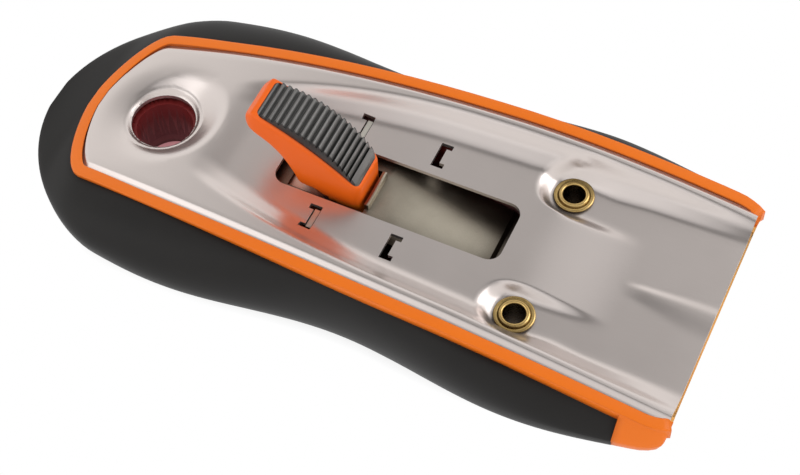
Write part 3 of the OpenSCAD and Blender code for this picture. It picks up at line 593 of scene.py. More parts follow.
def section(x, crown, tuck, steps):
    """Half of a cross-section, from the middle of its top to the middle of its underside."""
    wide, mid = swell(x), mid_z(x)
    flat = NOSE_FLAT * ease((x - X_NOSE + NOSE_FLAT_RUN) / NOSE_FLAT_RUN)
    edge = max(LEAST_W, min(plate_half(x, RIM_W) - NOSE_TUCK * nose_end(x) - tuck, wide - LEAST_W))
    top = mid + (crown - mid) * end_round(x, X_REAR - REAR_GAP, TOP_RUN, 2)
    low = mid - (mid - belly(x)) * end_round(x, X_REAR - REAR_GAP, LOW_RUN, 2)
    foot = wide * (FOOT_SHARE - FOOT_DRAW * max(0.0, 1 - ((x - X_FRONT + FOOT_BACK) / FOOT_RUN) ** 2))
    turns = [math.radians(90 * i / steps) for i in range(steps + 1)]
    ring = [(0, top), (edge * 0.5, top)]
    for t in turns:
        drop = (1 - flat) * math.cos(t) + flat * (1 - math.sin(t))
        ring.append((edge + (wide - edge) * math.sin(t), mid + (top - mid) * drop))
    ring += [(foot + (wide - foot) * math.cos(t), mid - (mid - low) * math.sin(t)) for t in turns[1:]]
    return ring + [(foot * 0.5, low), (0, low)]


def loft(name, xs, crown, tuck, steps=12):
    """A skin over the sections at these stations, mirrored to the near side."""
    rings = {x: section(x, crown(x), tuck, steps) for x in xs}
    count = len(rings[xs[0]])

    def place(x, j):
        y, z = rings[x][j if j < count else 2 * count - 2 - j]
        return x, (y if j < count else -y), z

    return close_up(pressed_grid(name, xs, list(range(2 * count - 1)), place), SEAM_GAP)


grip_xs = closer_at_rear(X_REAR, REAR_RUN, 26)
grip_xs += [X_REAR + REAR_RUN + (X_NOSE - X_REAR - REAR_RUN) * i / 70 for i in range(71)]
grip = loft("grip_skin", grip_xs, grip_top, GRIP_TUCK)
print("grip, still solid:", len(grip.data.polygons), "faces")

# %% [markdown]
# ## Room for the core
#
# The rubber is only a shell: the orange core fills it. The core's space is a tall block with the plan of
# the plate's outline, grown or shrunk, and with an underside that follows the belly. Cutting two such
# blocks, a wide shallow one and a narrow deep one, leaves the step on which the real core is keyed.

# %% Block of the core, cut out of the grip
BLOCK_TOP, PAST_NOSE, FIT = 40, 5, 0.02
SHELF_UP, SKIN_UP, DEEP_IN = 8.5, 3, 4.52
WELL_R, LINER_HOLE, BORE_LOW, BORE_TOP = 4.6, 6.92, -2, 12


def core_stations(grow, front, steps=90):
    rear, run = X_PLATE_REAR - grow, CORNER_RUN + grow
    straight = [rear + run + (front - rear - run) * i / steps for i in range(steps + 1)]
    return closer_at_rear(rear, run, 16) + straight


def core_half(x, grow):
    return plate_half(x, grow) - NOSE_TUCK * nose_end(x)


def core_space(grow, low):
    """A tall block with the core's plan, and with its underside given at each station."""
    def place(x, j):
        side, height = ((1, low(x)), (1, BLOCK_TOP), (-1, BLOCK_TOP), (-1, low(x)))[j % 4]
        return x, side * core_half(x, grow), height

    xs = core_stations(grow, X_TIP + PAST_NOSE)
    return close_up(pressed_grid("core_space", xs, list(range(5)), place), SEAM_GAP)


combine(grip, core_space(RIM_W - FIT, lambda x: min(belly(x) + SHELF_UP, mid_z(x))), "DIFFERENCE")
combine(grip, core_space(RIM_W - DEEP_IN, lambda x: belly(x) + SKIN_UP), "DIFFERENCE")
for y in (Y_EYELET, -Y_EYELET):
    combine(grip, prism("well", circle((X_EYELET, y), WELL_R), BORE_LOW, BORE_TOP, "Z"), "DIFFERENCE")
combine(grip, prism("bore", circle((X_HANG, 0), LINER_HOLE, 72), BORE_LOW, BORE_TOP, "Z"), "DIFFERENCE")
clean(grip)
shade(grip, 40)
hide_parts("grip_cover")
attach(grip, "handle")
print("grip:", len(grip.data.polygons), "faces")

# %% [markdown]
# ## The orange core
#
# Most of the core is hidden, and its solid already has the bays, bosses, tube and nose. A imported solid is
# never changed itself, and its mesh is loose triangles, so the work starts from a copy whose points are
# merged.

# %% Copy of a solid that can be worked on
def copy_node(node, name):
    piece = nodes[node].copy()
    piece.data = nodes[node].data.copy()
    for key in list(piece.keys()):
        del piece[key]
    piece.parent = None
    piece.name = name
    bpy.context.scene.collection.objects.link(piece)
    piece.matrix_world = Matrix.Identity(4)
    return close_up(piece, COPY_GAP)


core = copy_node("handle_core", "core_skin")
print("core of", len(core.data.polygons), "faces before its rim")

# %% [markdown]
# ## The rim
#
# What shows of the core is the orange rim round the plate, a little proud of it, with softly rounded edges.
# The solid has it in wider steps and with sharp edges. A bevel on those steps would be uneven, so a rounded
# profile is swept along the plate's outline instead and added to the copy, and the core stays one moulding.

# %% Rim swept round the plate
RIM_GAP, RIM_PROUD, RIM_SKIN = 0.15, 0.3, 0.06
RIM_IN_R, RIM_OUT_R, RIM_LOW, RIM_LIP = 0.22, 0.35, -2.4, -1.6
RIM_END, RIM_LIFT, LIFT_AHEAD, LIFT_RUN = 0.9, 0.4, 8, 14
rim_inner, rim_outer, rim_top = -RIM_SKIN, RIM_W - RIM_GAP + RIM_SKIN, RIM_PROUD + RIM_SKIN
rim_profile = [(rim_inner, RIM_LIP)]
rim_profile += arc((rim_inner + RIM_IN_R, rim_top - RIM_IN_R), RIM_IN_R, 180, 90, 4)
rim_profile += arc((rim_outer - RIM_OUT_R, rim_top - RIM_OUT_R), RIM_OUT_R, 90, 0, 5)
rim_profile += [(rim_outer, RIM_LOW), (rim_inner, RIM_LOW)]
far_edge = [(x, core_half(x, RIM_GAP)) for x in core_stations(RIM_GAP, X_TIP - RIM_END, 110)]
rim_path = [(x, -y) for x, y in reversed(far_edge)] + far_edge


def rim_point(i, j):
    """A point of the profile, set square to the path; the rim stands higher behind the hang hole."""
    x, y = rim_path[i]
    before, after = rim_path[max(0, i - 1)], rim_path[min(len(rim_path) - 1, i + 1)]
    run = Vector((after[0] - before[0], after[1] - before[1])).normalized()
    out, up = rim_profile[j % len(rim_profile)]
    px, py = x - run.y * out, y + run.x * out
    up += RIM_LIFT * ease((X_HANG + LIFT_AHEAD - px) / LIFT_RUN) if up > 0 else 0
    return px, py, arch(max(px, X_PLATE_REAR - RIM_W)) + up


rim = pressed_grid("rim", list(range(len(rim_path))), list(range(len(rim_profile) + 1)), rim_point)
close_up(rim, SEAM_GAP)
print("rim:", len(rim.data.polygons), "faces")
combine(core, rim, "UNION")

# %% [markdown]
# ## The hang hole's wall
#
# Below the plate's dish the core needs room for the pressed metal, and through the hole one sees an orange
# wall down to the table. A turned ring makes the room, and another is added as a lining in front of the
# rubber.

# %% Room for the dish, and the lining of the hole
ROOM_RADII = (6.3, 6.8, 7.3, 8.0, 9.0, 10.5, 12.5)
ROOM_UNDER, ROOM_TOP = 1.5, 30
LINER_IN, LINER_OUT, LINER_LOW, LINER_TOP = 5.85, 6.9, 0.15, 6
room = [(radius, dish_z(radius) - ROOM_UNDER) for radius in ROOM_RADII]
room += [(ROOM_RADII[-1], ROOM_TOP), (ROOM_RADII[0], ROOM_TOP)]
combine(core, turned("dish_room", room, (X_HANG, 0)), "DIFFERENCE")
liner = [(LINER_IN, LINER_LOW), (LINER_OUT, LINER_LOW), (LINER_OUT, LINER_TOP), (LINER_IN, LINER_TOP)]
combine(core, turned("liner", liner, (X_HANG, 0)), "UNION")
clean(core)
shade(core, 30)
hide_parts("handle_core")
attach(core, "handle")
print("core:", len(core.data.polygons), "faces")

# %% [markdown]
# ## The thumb lever
#
# The lever is moulded in the same orange plastic and rocks on a cross pin. Its side view is drawn once: a
# long arched top, a blunt nose, a boss round the pin, a nub that presses the spring and a cut-away heel.
# That view is extruded with a little to spare, because a cut is only clean where no two faces lie on each
# other, and is trimmed to its width with rounded corners in plan. Bevels would meet badly at the heel, so a
# fine voxel remesh and some smoothing round all edges at once, as a mould leaves them.

# %% Lever from its side view
PIN_X, PIN_Z = (frame["joints"][1]["pos_m"][axis] / MM for axis in (0, 2))
NUB_Z, NUB_R, BOSS_R = TRACK_Z - 2.2, 1.2, 1.9
LEVER_HALF, LEVER_CORNER, PLAN_TOP, SPARE = 4.6, 2.2, 60, 0.2
LEVER_REAR, LEVER_NOSE = PIN_X - 21.4, PIN_X + 1.6
SEAT, SEAT_R = (PIN_X - 39.07, NUB_Z - 39.2), 60.0
NOSE_FOOT = (PIN_X + 1.15, PIN_Z + 2)
HEEL_UNDER = ((3, 1), (6.4, 1), (6.8, 3), (7.9, 5.2), (8.9, 7.1), (10.6, 9.2), (12.6, 10.7), (15.9, 12.6))
HEEL_TIP = ((-21.4, 13.4), (-21.0, 15.5), (-19.5, 17.0))
VOXEL, SMOOTH_ROUNDS = 0.2, 70


def soften(points, rounds=3):
    """Cut the corners of a line again and again, so that it runs in a curve."""
    for _ in range(rounds):
        pairs = [(Vector(a), Vector(b)) for a, b in zip(points, points[1:])]
        cut = [p for a, b in pairs for p in (a.lerp(b, 0.25), a.lerp(b, 0.75))]
        points = [points[0], *(tuple(p) for p in cut), points[-1]]
    return points


heel = [(X_TOOTH - x, NUB_Z + z) for x, z in HEEL_UNDER]
heel += [(PIN_X + x, NUB_Z + z) for x, z in HEEL_TIP]
lever_view = arc(SEAT, SEAT_R, 70.8, 47.7, 40)
lever_view += [NOSE_FOOT] + arc((PIN_X, PIN_Z), BOSS_R, 20, -150, 10)
lever_view += arc((X_TOOTH, NUB_Z), NUB_R, -30, -170, 8) + soften(heel)
lever = prism("lever_skin", lever_view, -LEVER_HALF - SPARE, LEVER_HALF + SPARE)
plan = rounded_box(LEVER_REAR, LEVER_NOSE, LEVER_HALF, LEVER_CORNER)
combine(lever, prism("plan", plan, 0, PLAN_TOP, "Z"), "INTERSECT")
apply(lever, "REMESH", mode="VOXEL", voxel_size=VOXEL * MM)
apply(lever, "SMOOTH", factor=0.5, iterations=SMOOTH_ROUNDS)
print("lever:", len(lever.data.polygons), "faces")

# %% [markdown]
# ## Pocket and bore of the lever
#
# The pad sits in a shallow pocket whose floor runs parallel to the lever's arched top. It is cut after the
# smoothing, so that its edge stays crisp where orange meets black, and so is the bore for the pin.

# %% Pocket for the pad and bore for the pin
PAD_HALF, PAD_CORNER = 4.1, 1.1
PAD_REAR, PAD_FRONT, PAD_SINK, PAD_STEPS = PIN_X - 18.4, PIN_X + 0.8, 1.2, 30
PIN_HOLE, PIN_REACH = 0.85, 9


def circle_z(centre, radius, x):
    """Height of the upper half of a circle."""
    return centre[1] + math.sqrt(radius ** 2 - (x - centre[0]) ** 2)


def over(x0, x1, steps, height):
    """Points along a line whose height is given by a function."""
    return [(x, height(x)) for x in (x0 + (x1 - x0) * i / steps for i in range(steps + 1))]


def pocket_floor(x):
    return circle_z(SEAT, SEAT_R - PAD_SINK, x)


pocket_rear, pocket_front, pocket_half = PAD_REAR - FIT, PAD_FRONT + FIT, PAD_HALF + FIT
pocket_view = over(pocket_rear - SPARE, pocket_front + SPARE, PAD_STEPS, pocket_floor)
pocket_view += [(x, PLAN_TOP + SPARE) for x in (pocket_front + SPARE, pocket_rear - SPARE)]
pocket = prism("pocket", pocket_view, -pocket_half - SPARE, pocket_half + SPARE)
plan = rounded_box(pocket_rear, pocket_front, pocket_half, PAD_CORNER)
combine(pocket, prism("plan", plan, 0, PLAN_TOP, "Z"), "INTERSECT")
combine(lever, pocket, "DIFFERENCE")
combine(lever, prism("bore", circle((PIN_X, PIN_Z), PIN_HOLE), -PIN_REACH, PIN_REACH), "DIFFERENCE")
clean(lever)
shade(lever, 35)
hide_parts("thumb_lever")
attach(lever, "lever")
print("lever with pocket:", len(lever.data.polygons), "faces")

# %% [markdown]
# ## The ribbed pad
#
# The thumb rests on a rubber pad with fine cross ribs. They could be single bars set on a smooth pad, but
# they belong to the side view, so its top line is drawn as a row of rounded waves and extruded like the
# lever. A small bevel softens the pad's long sides.

# %% Pad with its ribs in the side view
PAD_C, PAD_R = (PIN_X - 16.9, NUB_Z - 2.3), 19.35
RIB_STEP, RIB_FIRST, RIBS, RIB_DEEP = math.radians(3.75), math.radians(-4.07), 17, 0.6
RIB_POWER, RIB_POINTS = 1.5, 265


def pad_top(x):
    turn = math.asin((x - PAD_C[0]) / PAD_R)
    wave = (turn - RIB_FIRST) / RIB_STEP
    deep = RIB_DEEP * (0.5 - 0.5 * math.cos(2 * math.pi * wave)) ** RIB_POWER if 0 < wave < RIBS else 0
    return circle_z(PAD_C, PAD_R - deep, x)


pad_view = over(PAD_REAR - SPARE, PAD_FRONT + SPARE, PAD_STEPS, pocket_floor)
pad_view += over(PAD_FRONT + SPARE, PAD_REAR - SPARE, RIB_POINTS, pad_top)
pad = prism("pad_skin", pad_view, -PAD_HALF - SPARE, PAD_HALF + SPARE)
plan = rounded_box(PAD_REAR, PAD_FRONT, PAD_HALF, PAD_CORNER)
combine(pad, prism("plan", plan, 0, PLAN_TOP, "Z"), "INTERSECT")
round_edges(pad, 0.25, segments=3, angle=70)
clean(pad)
shade(pad, 50)
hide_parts("lever_pad")
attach(pad, "lever")
print("pad:", len(pad.data.polygons), "faces")

# %% [markdown]
# ## The sheet that carries the blade
#
# Through the slot one sees a bent strip of plain steel. Its solid has the right folds, so a merged copy
# only needs its edges softened to catch a line of light at each bend. Flat faces are dissolved first,
# because a bevel follows edges and would otherwise trip over the lines that only divide a flat face into
# triangles.

# %% Carrier with soft folds
carrier = copy_node("blade_carrier", "carrier_skin")
apply(carrier, "DECIMATE", decimate_type="DISSOLVE", angle_limit=math.radians(2))
round_edges(carrier, 0.12, segments=2, angle=20)
shade(carrier, 30)
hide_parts("blade_carrier")
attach(carrier, "carriage")
print("carrier:", len(carrier.data.polygons), "faces")

# %% [markdown]
# ## Finishes
#
# A finish is a small network of nodes. Dozens of nodes placed one by one are hard to read, so a value in
# the network is wrapped in a class on which plus, minus, times and divide work as on numbers, and each of
# them adds its own Math node. Smaller-than and greater-than give masks of 0 and 1.

# %% A value in a finish
class Value:
    def __init__(self, tree, socket):
        self.tree, self.socket = tree, socket

    def math(self, operation, first, second):
        node = self.tree.nodes.new("ShaderNodeMath")
        node.operation = operation
        for slot, value in zip(node.inputs, (first, second)):
            if isinstance(value, Value):
                self.tree.links.new(value.socket, slot)
            else:
                slot.default_value = value
        return Value(self.tree, node.outputs[0])

    def __add__(self, other):
        return self.math("ADD", self, other)

    def __sub__(self, other):
        return self.math("SUBTRACT", self, other)

    def __rsub__(self, other):
        return self.math("SUBTRACT", other, self)

    def __mul__(self, other):
        return self.math("MULTIPLY", self, other)

    def __truediv__(self, other):
        return self.math("DIVIDE", self, other)

    def __rtruediv__(self, other):
        return self.math("DIVIDE", other, self)

    def __pow__(self, other):
        return self.math("POWER", self, other)

    def __lt__(self, other):
        return self.math("LESS_THAN", self, other)

    def __gt__(self, other):
        return self.math("GREATER_THAN", self, other)

    __radd__, __rmul__ = __add__, __mul__


print("a value takes + - * / ** < and >")

# %% [markdown]
# Every other node comes from one method that takes its type, its settings and what goes into its sockets.
# The helpers below it name what a finisher thinks of: a grain, a blend of two colours, how open a place is,
# a bump. All patterns read object coordinates, so they stay on the piece when it moves.

# %% A finish and its nodes
class Finish:
    def __init__(self, name):
        self.material = bpy.data.materials.new(name)
        self.material.use_nodes = True
        self.tree = self.material.node_tree
        self.tree.nodes.clear()
        self.surface = self.tree.nodes.new("ShaderNodeBsdfPrincipled")
        self.output = self.tree.nodes.new("ShaderNodeOutputMaterial")
        self.tree.links.new(self.surface.outputs[0], self.output.inputs["Surface"])

    def node(self, kind, settings=None, sockets=None, out=0):
        node = self.tree.nodes.new(kind)
        for name, value in (settings or {}).items():
            setattr(node, name, value)
        for name, value in (sockets or {}).items():
            self.plug(node.inputs[name], value)
        return Value(self.tree, node.outputs[out])

    def plug(self, slot, value):
        if isinstance(value, Value):
            self.tree.links.new(value.socket, slot)
        else:
            slot.default_value = value

    def set(self, **sockets):
        for name, value in sockets.items():
            self.plug(self.surface.inputs[name.replace("_", " ")], value)

    def place(self, scale=(1, 1, 1)):
        """Object coordinates in millimetres, stretched along each axis."""
        spot = self.node("ShaderNodeTexCoord", out="Object")
        stretch = [s / MM for s in scale]
        return self.node("ShaderNodeMapping", {"vector_type": "POINT"}, {"Vector": spot, "Scale": stretch})

    def axes(self):
        """Each object coordinate by itself, in millimetres."""
        split = self.tree.nodes.new("ShaderNodeSeparateXYZ")
        self.plug(split.inputs[0], self.place())
        return [Value(self.tree, socket) for socket in split.outputs]

    def noise(self, scale, size=(1, 1, 1), detail=3.0):
        """Noise from 0 to 1 whose grain is about 1 / scale millimetres wide."""
        sockets = {"Vector": self.place(size), "Scale": scale, "Detail": detail}
        return self.node("ShaderNodeTexNoise", {}, sockets)

    def mix(self, share, first, second):
        """A colour between two others."""
        sockets = {0: share, 6: self.rgba(first), 7: self.rgba(second)}
        return self.node("ShaderNodeMix", {"data_type": "RGBA"}, sockets, 2)

    def rgba(self, colour):
        return colour if isinstance(colour, Value) else (*colour, 1)

    def openness(self, reach, power=1.0):
        """1 in the open, falling to 0 deep inside a gap that is narrower than its reach."""
        sockets = {"Distance": reach * MM}
        return self.node("ShaderNodeAmbientOcclusion", {"samples": 8}, sockets, "AO") ** power

    def bump(self, height, distance):
        return self.node("ShaderNodeBump", {}, {"Height": height, "Distance": distance * MM, "Strength": 1.0})


def wear(finish, *pieces):
    """Give a finish to pieces."""
    for piece in pieces:
        piece.data.materials.clear()
        piece.data.materials.append(finish.material)
    print(finish.material.name, "on", ", ".join(piece.name for piece in pieces))


# %% [markdown]
# ## Steel
#
# The plate is cold-rolled stainless: bright, but its surface is fine enough to blur what it mirrors. A
# single grey would look like paint, so long faint roller lines run with the tool, and broad patches are a
# little duller than others.

# %% Plate steel
STEEL_DULL, STEEL_CLEAR = (0.68, 0.62, 0.597), (0.75, 0.685, 0.66)
plate_steel = Finish("plate_steel")
lines = plate_steel.noise(1.0, (0.25, 9, 9), 4.0)
patches = plate_steel.noise(0.09, (1, 1, 1), 2.0)
plate_steel.set(
    Base_Color=plate_steel.mix(lines * 0.5 + patches * 0.5, STEEL_DULL, STEEL_CLEAR),
    Metallic=0.92, Roughness=0.25 + lines * 0.05 + patches * 0.06, Normal=plate_steel.bump(lines, 0.0008))
wear(plate_steel, plate)

# %% [markdown]
# The inner strip, the lock spring and the pins are plainer steels: duller, warmer and a little oily. Deep
# inside the slot brown shade is painted into their colour, more where a place is more closed in. The strip's
# tab is painted brown-orange, as painted shade and a painted reflection of the orange lever behind it.

# %% Inner steels
DEEP_SHADE, TAB_SHADE_AND_REFLECTION = (0.035, 0.016, 0.01), (0.3, 0.12, 0.07)


def inner_steel(name, dark, light, rough, reach):
    steel = Finish(name)
    film = steel.noise(0.25, (1, 1, 1), 4.0)
    grain = steel.noise(3.0, (0.4, 2, 2), 3.0)
    bare = steel.mix(film, dark, light)
    # Painted shade: closed places are coloured towards a deep brown.
    colour = steel.mix(steel.openness(reach, 1.4), DEEP_SHADE, bare)
    steel.set(Base_Color=colour, Metallic=1.0, Roughness=rough + film * 0.12 + grain * 0.06,
              Normal=steel.bump(grain, 0.002))
    return steel, colour


strip_steel, colour = inner_steel("strip_steel", (0.62, 0.56, 0.45), (0.8, 0.74, 0.62), 0.34, 11)
x, y, z = strip_steel.axes()
# Painted shade and painted reflection: the tab in front of the lever is coloured brown-orange.
tab_shade_and_reflection = (z > NUB_Z) * (x > PIN_X) * (x < X_TOOTH + 7.2)
strip_steel.set(Base_Color=strip_steel.mix(tab_shade_and_reflection, colour, TAB_SHADE_AND_REFLECTION))
tooth_steel, _ = inner_steel("tooth_steel", (0.8, 0.76, 0.68), (0.9, 0.87, 0.8), 0.26, 2)
bright_steel, _ = inner_steel("bright_steel", (0.62, 0.61, 0.6), (0.74, 0.73, 0.72), 0.16, 2)
wear(strip_steel, carrier)
wear(tooth_steel, nodes["lock_spring"])
wear(bright_steel, *(nodes[node] for node in ("scraper_blade", "blade_pins", "spring_rivets", "lever_pin",
                                              "washer_left", "washer_right")))

# %% [markdown]
# ## Brass
#
# The eyelets are bright-dipped brass, with a little tarnish left where the tool that rolled them slid. One
# gold tone would look plated, so two tones are mixed by a fine noise, and painted shade darkens the bore
# where it is deep.

# %% Eyelet brass
BRASS_TARNISHED, BRASS_BRIGHT, BRASS_PAINTED_SHADE = (0.68, 0.44, 0.14), (0.97, 0.71, 0.31), (0.02, 0.009, 0.004)
eyelet_brass = Finish("eyelet_brass")
tarnish = eyelet_brass.noise(0.8, (1, 1, 1), 5.0)
rolled = eyelet_brass.noise(5.0, (1, 1, 2), 3.0)
brass = eyelet_brass.mix(tarnish, BRASS_TARNISHED, BRASS_BRIGHT)
# Painted shade: the deep bore is coloured nearly black.
eyelet_brass.set(Base_Color=eyelet_brass.mix(eyelet_brass.openness(5, 2.0), BRASS_PAINTED_SHADE, brass),
                 Metallic=1.0, Roughness=0.2 + tarnish * 0.16, Normal=eyelet_brass.bump(rolled, 0.004))
wear(eyelet_brass, *eyelets)

# %% [markdown]
# ## Orange plastic
#
# The core and the lever come out of the mould with a very fine grain that spreads highlights, and with a
# slow change of tone where the plastic flowed. Inside, shade is painted into the core's colour: dark brown
# in the bay below the plate, and dark red in the hang hole, with a paler red lower down as painted light that
# comes through the plastic. A painted highlight lightens the lip at the front edge, and painted shade darkens
# the creases. Masks of the object's own coordinates choose the place of each tone, because a separate piece
# for each would break up the one moulding.

# %% Moulded plastic
ORANGE_LOW, ORANGE_HIGH, ORANGE_LEVER = (0.9, 0.18, 0.005), (0.98, 0.215, 0.009), (0.98, 0.15, 0.007)
BAY_PAINTED_SHADE, BORE_TOP_PAINTED_SHADE, BORE_LOW_PAINTED_LIGHT = (0.05, 0.005, 0.004), (0.22, 0.022, 0.022), (0.62, 0.26, 0.28)
LIP_PAINTED_HIGHLIGHT, CREASE_PAINTED_SHADE = (1.0, 0.5, 0.13), (0.12, 0.01, 0.006)
BAY_TOP, BAY_HALF, BAY_REAR, BAY_FRONT = 18.3, 17.5, -34, 58
LEVER_ROOM, LEVER_BACK, LEVER_LOW = 4.7, 5, 13
TUBE_R, TUBE_HIGH, LIP_HALF, LEVER_TOP, LEVER_WIDE = 9.0, 9, 21.3, 17.3, 5.0


def within(value, half_width):
    """A mask of 1 where a coordinate is nearer to the middle than this."""
    return value * value < half_width ** 2


orange_plastic = Finish("orange_plastic")
flow = orange_plastic.noise(0.06, (1, 1, 1), 2.0)
mould = orange_plastic.noise(7.0, (1, 1, 1), 3.0)
x, y, z = orange_plastic.axes()
# Painted shade: the bay below the plate, apart from the lever, is coloured dark brown.
beside_lever = 1 - within(y, LEVER_ROOM) * (x > PIN_X - LEVER_BACK) * (z > LEVER_LOW)
bay_painted_shade = (z < BAY_TOP) * within(y, BAY_HALF) * (x > BAY_REAR) * (x < BAY_FRONT) * beside_lever
# Painted shade and painted light in the hang hole: dark red high up, a paler pinkish red lower down.
tube = (x - X_HANG) * (x - X_HANG) + y * y < TUBE_R ** 2
bore = orange_plastic.mix((TUBE_HIGH - z) / TUBE_HIGH, BORE_TOP_PAINTED_SHADE, BORE_LOW_PAINTED_LIGHT)
orange = orange_plastic.mix(flow, ORANGE_LOW, ORANGE_HIGH)
orange = orange_plastic.mix(bay_painted_shade, orange, BAY_PAINTED_SHADE)
orange = orange_plastic.mix(tube, orange, bore)
# Painted highlight: the lip along the front edge is lightened.
orange = orange_plastic.mix((x > X_FRONT - 0.3) * within(y, LIP_HALF), orange, LIP_PAINTED_HIGHLIGHT)
orange = orange_plastic.mix((z > LEVER_TOP) * within(y, LEVER_WIDE), orange, ORANGE_LEVER)
# Painted shade: narrow creases are darkened brown, except at the front lip.
crease_painted_shade = (1 - orange_plastic.openness(1.2)) * (x < X_FRONT - 1.5)
orange_plastic.set(Base_Color=orange_plastic.mix(crease_painted_shade, orange, CREASE_PAINTED_SHADE), Specular_IOR_Level=0.35,
                   Roughness=0.36 + mould * 0.1, Normal=orange_plastic.bump(mould, 0.006))
wear(orange_plastic, core, lever)

# %% [markdown]
# ## Black rubber
#
# The rubber is duller than the plastic, with a slightly coarser grain and a grey bloom where it is touched.
# The pad is a shade lighter and shinier, so that each rib catches the light, and darker at its sides. Pure
# black would hide the grip's swell, so both rubbers are dark greys. In closed places, such as the pad's
# grooves, shade is painted into both.

# %% Rubbers
PAD_SIDE = (0.015, 0.014, 0.014)


def rubber(name, dark, light, rough, shine):
    skin = Finish(name)
    bloom = skin.noise(0.07, (1, 1, 1), 3.0)
    grain = skin.noise(5.0, (1, 1, 1), 3.0)
    # Painted shade: in closed places, such as the pad's grooves, the colour falls to a tenth.
    deep = [level * 0.1 for level in dark]
    colour = skin.mix(skin.openness(1.4, 2.2), deep, skin.mix(bloom, dark, light))
    skin.set(Base_Color=colour, Roughness=rough + bloom * 0.1 - grain * 0.06, Specular_IOR_Level=shine,
             Normal=skin.bump(grain, 0.012))
    return skin, colour


grip_rubber, _ = rubber("grip_rubber", (0.011, 0.0103, 0.01), (0.019, 0.0177, 0.0172), 0.48, 0.23)
wear(grip_rubber, grip)
pad_rubber, colour = rubber("pad_rubber", (0.12, 0.116, 0.112), (0.16, 0.155, 0.15), 0.32, 0.8)
x, y, z = pad_rubber.axes()
pad_rubber.set(Base_Color=pad_rubber.mix(within(y, PAD_HALF - 0.2), PAD_SIDE, colour))
wear(pad_rubber, pad)

# %% [markdown]
# ## Camera
#
# The picture is taken from above the near side, a little towards the blade end. The camera could be turned
# by eye, but its three axes were worked out from the tool's own points, so they are written down as they
# are: what is to the right in the picture, what is down, and what is ahead.

# %% Camera
RIGHT, DOWN, AHEAD = (0.9044, 0.4257, -0.0277), (0.3409, -0.7602, -0.553), (-0.2565, 0.4907, -0.8327)
CAMERA_SPOT, FOCAL, SENSOR = (0.08861, -0.15757, 0.27217), 77.61, 36.0
lens = bpy.data.cameras.new("camera")
lens.sensor_width, lens.lens = SENSOR, FOCAL
lens.clip_start, lens.clip_end = 0.01, 20.0
camera = bpy.data.objects.new("camera", lens)
bpy.context.scene.collection.objects.link(camera)
turn = Matrix((RIGHT, [-v for v in DOWN], [-v for v in AHEAD])).transposed().to_4x4()
camera.matrix_world = Matrix.Translation(CAMERA_SPOT) @ turn
bpy.context.scene.camera = camera
bpy.context.scene.view_settings.view_transform = "Standard"
print("camera %.0f mm from the origin" % (Vector(CAMERA_SPOT).length / MM))

# %% [markdown]
# ## Room
#
# Bright metal shows the room more than itself. In an all-white room its bends would vanish, so this one is
# white low down and darkens to the ceiling: walls of the pressing mirror the white, and flat metal mirrors
# the grey.

# %% Room
ROOM_STOPS = ((0.0, 1.0), (0.45, 1.0), (0.6, 0.86), (0.75, 0.57),
              (0.84, 0.43), (0.91, 0.26), (0.96, 0.14), (1.0, 0.1))
ROOM_WARMTH = (1, 0.985, 0.965)
world = bpy.data.worlds.new("room")
bpy.context.scene.world = world
world.use_nodes = True
tree = world.node_tree
tree.nodes.clear()


def room_node(kind, **links):
    node = tree.nodes.new(kind)
    for name, socket in links.items():
        tree.links.new(socket, node.inputs[name])
    return node


direction = room_node("ShaderNodeTexCoord").outputs["Generated"]
height = room_node("ShaderNodeSeparateXYZ", Vector=direction).outputs["Z"]
ramp = room_node("ShaderNodeValToRGB", Fac=height)
while len(ramp.color_ramp.elements) < len(ROOM_STOPS):
    ramp.color_ramp.elements.new(0.5)
for element, (spot, level) in zip(ramp.color_ramp.elements, ROOM_STOPS):
    element.position = spot
    element.color = (*(level * warmth for warmth in ROOM_WARMTH), 1)
sky = room_node("ShaderNodeBackground", Color=ramp.outputs["Color"])
sky.inputs["Strength"].default_value = 1.0
room_node("ShaderNodeOutputWorld", Surface=sky.outputs[0])
print("room of", len(ramp.color_ramp.elements), "greys from the floor to the ceiling")

# %% [markdown]
# ## Lamps
#
# A room alone lights a tool flatly. A key and a fill give the rubber its shape, a soft bank above the near
# side is mirrored by the far wall of the pressing, and a weak glow above the far side by the sloping
# tongue.

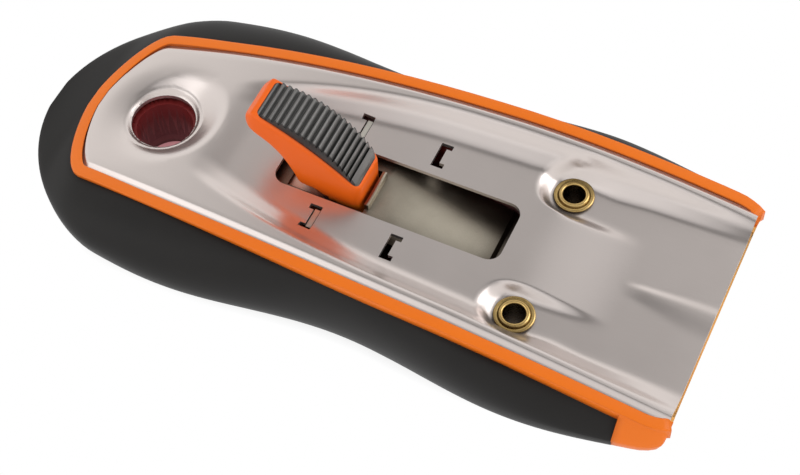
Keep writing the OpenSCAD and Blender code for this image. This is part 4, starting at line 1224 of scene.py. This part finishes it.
# %% Lamps
LAMPS = {"key": ((-0.55, -0.35, 0.55), (0.5, 0.5), 0.6),
         "fill": ((0.6, 0.35, 0.45), (0.5, 0.5), 1.5),
         "bank": ((0, -0.21, 0.52), (0.56, 0.42), 0.36),
         "glow": ((0.135, 0.3, 0.52), (0.17, 0.24), 0.05)}
AIM = Vector((0, 0, 0.01))
for name, (spot, (wide, deep), power) in LAMPS.items():
    light = bpy.data.lights.new(name, "AREA")
    light.shape, light.size, light.size_y, light.energy = "RECTANGLE", wide, deep, power
    lamp = bpy.data.objects.new(name, light)
    bpy.context.scene.collection.objects.link(lamp)
    lamp.location = spot
    lamp.rotation_euler = (AIM - Vector(spot)).to_track_quat("-Z", "Y").to_euler()
print("lamps:", ", ".join(LAMPS))

# %% [markdown]
# ## Floor
#
# The tool lies on white paper. To the camera and in reflections the paper is plain white, whatever the
# lamps do, and near the tool its own shading comes through and gives the shadow. Seen through the hang hole
# it has a pink tint painted on it, as painted light for what the orange wall throws on it.

# %% Floor
PAPER, UNDER_HOLE_PAINTED_LIGHT = (0.9, 0.9, 0.9, 1), (0.5, 0.2, 0.22)
pick(None)
bpy.ops.mesh.primitive_plane_add(size=6)
floor = bpy.context.object
floor.name = "floor"
paper = Finish("floor_paper")
rays = paper.tree.nodes.new("ShaderNodeLightPath").outputs
seen, glossy, through = (Value(paper.tree, rays["Is %s Ray" % kind])
                         for kind in ("Camera", "Glossy", "Transmission"))
shown = seen.math("MAXIMUM", seen.math("MAXIMUM", seen, glossy), through)
paper.set(Base_Color=PAPER, Roughness=0.9)
x, y, z = paper.axes()
# Painted light: the floor under the hang hole is tinted pink.
painted_light_under_hole = (x - X_HANG) * (x - X_HANG) + y * y < TUBE_R ** 2
white = paper.mix(painted_light_under_hole, (1, 1, 1), UNDER_HOLE_PAINTED_LIGHT)
glow = paper.node("ShaderNodeEmission", {}, {"Color": white, "Strength": 1.0})
matt = Value(paper.tree, paper.surface.outputs[0])
blend = paper.node("ShaderNodeMixShader", {}, {0: shown * paper.openness(4, 0.4), 1: matt, 2: glow})
paper.tree.links.new(blend.socket, paper.output.inputs["Surface"])
floor.data.materials.append(paper.material)
print("floor under the tool at z = %.1f mm" % (floor.location.z / MM))
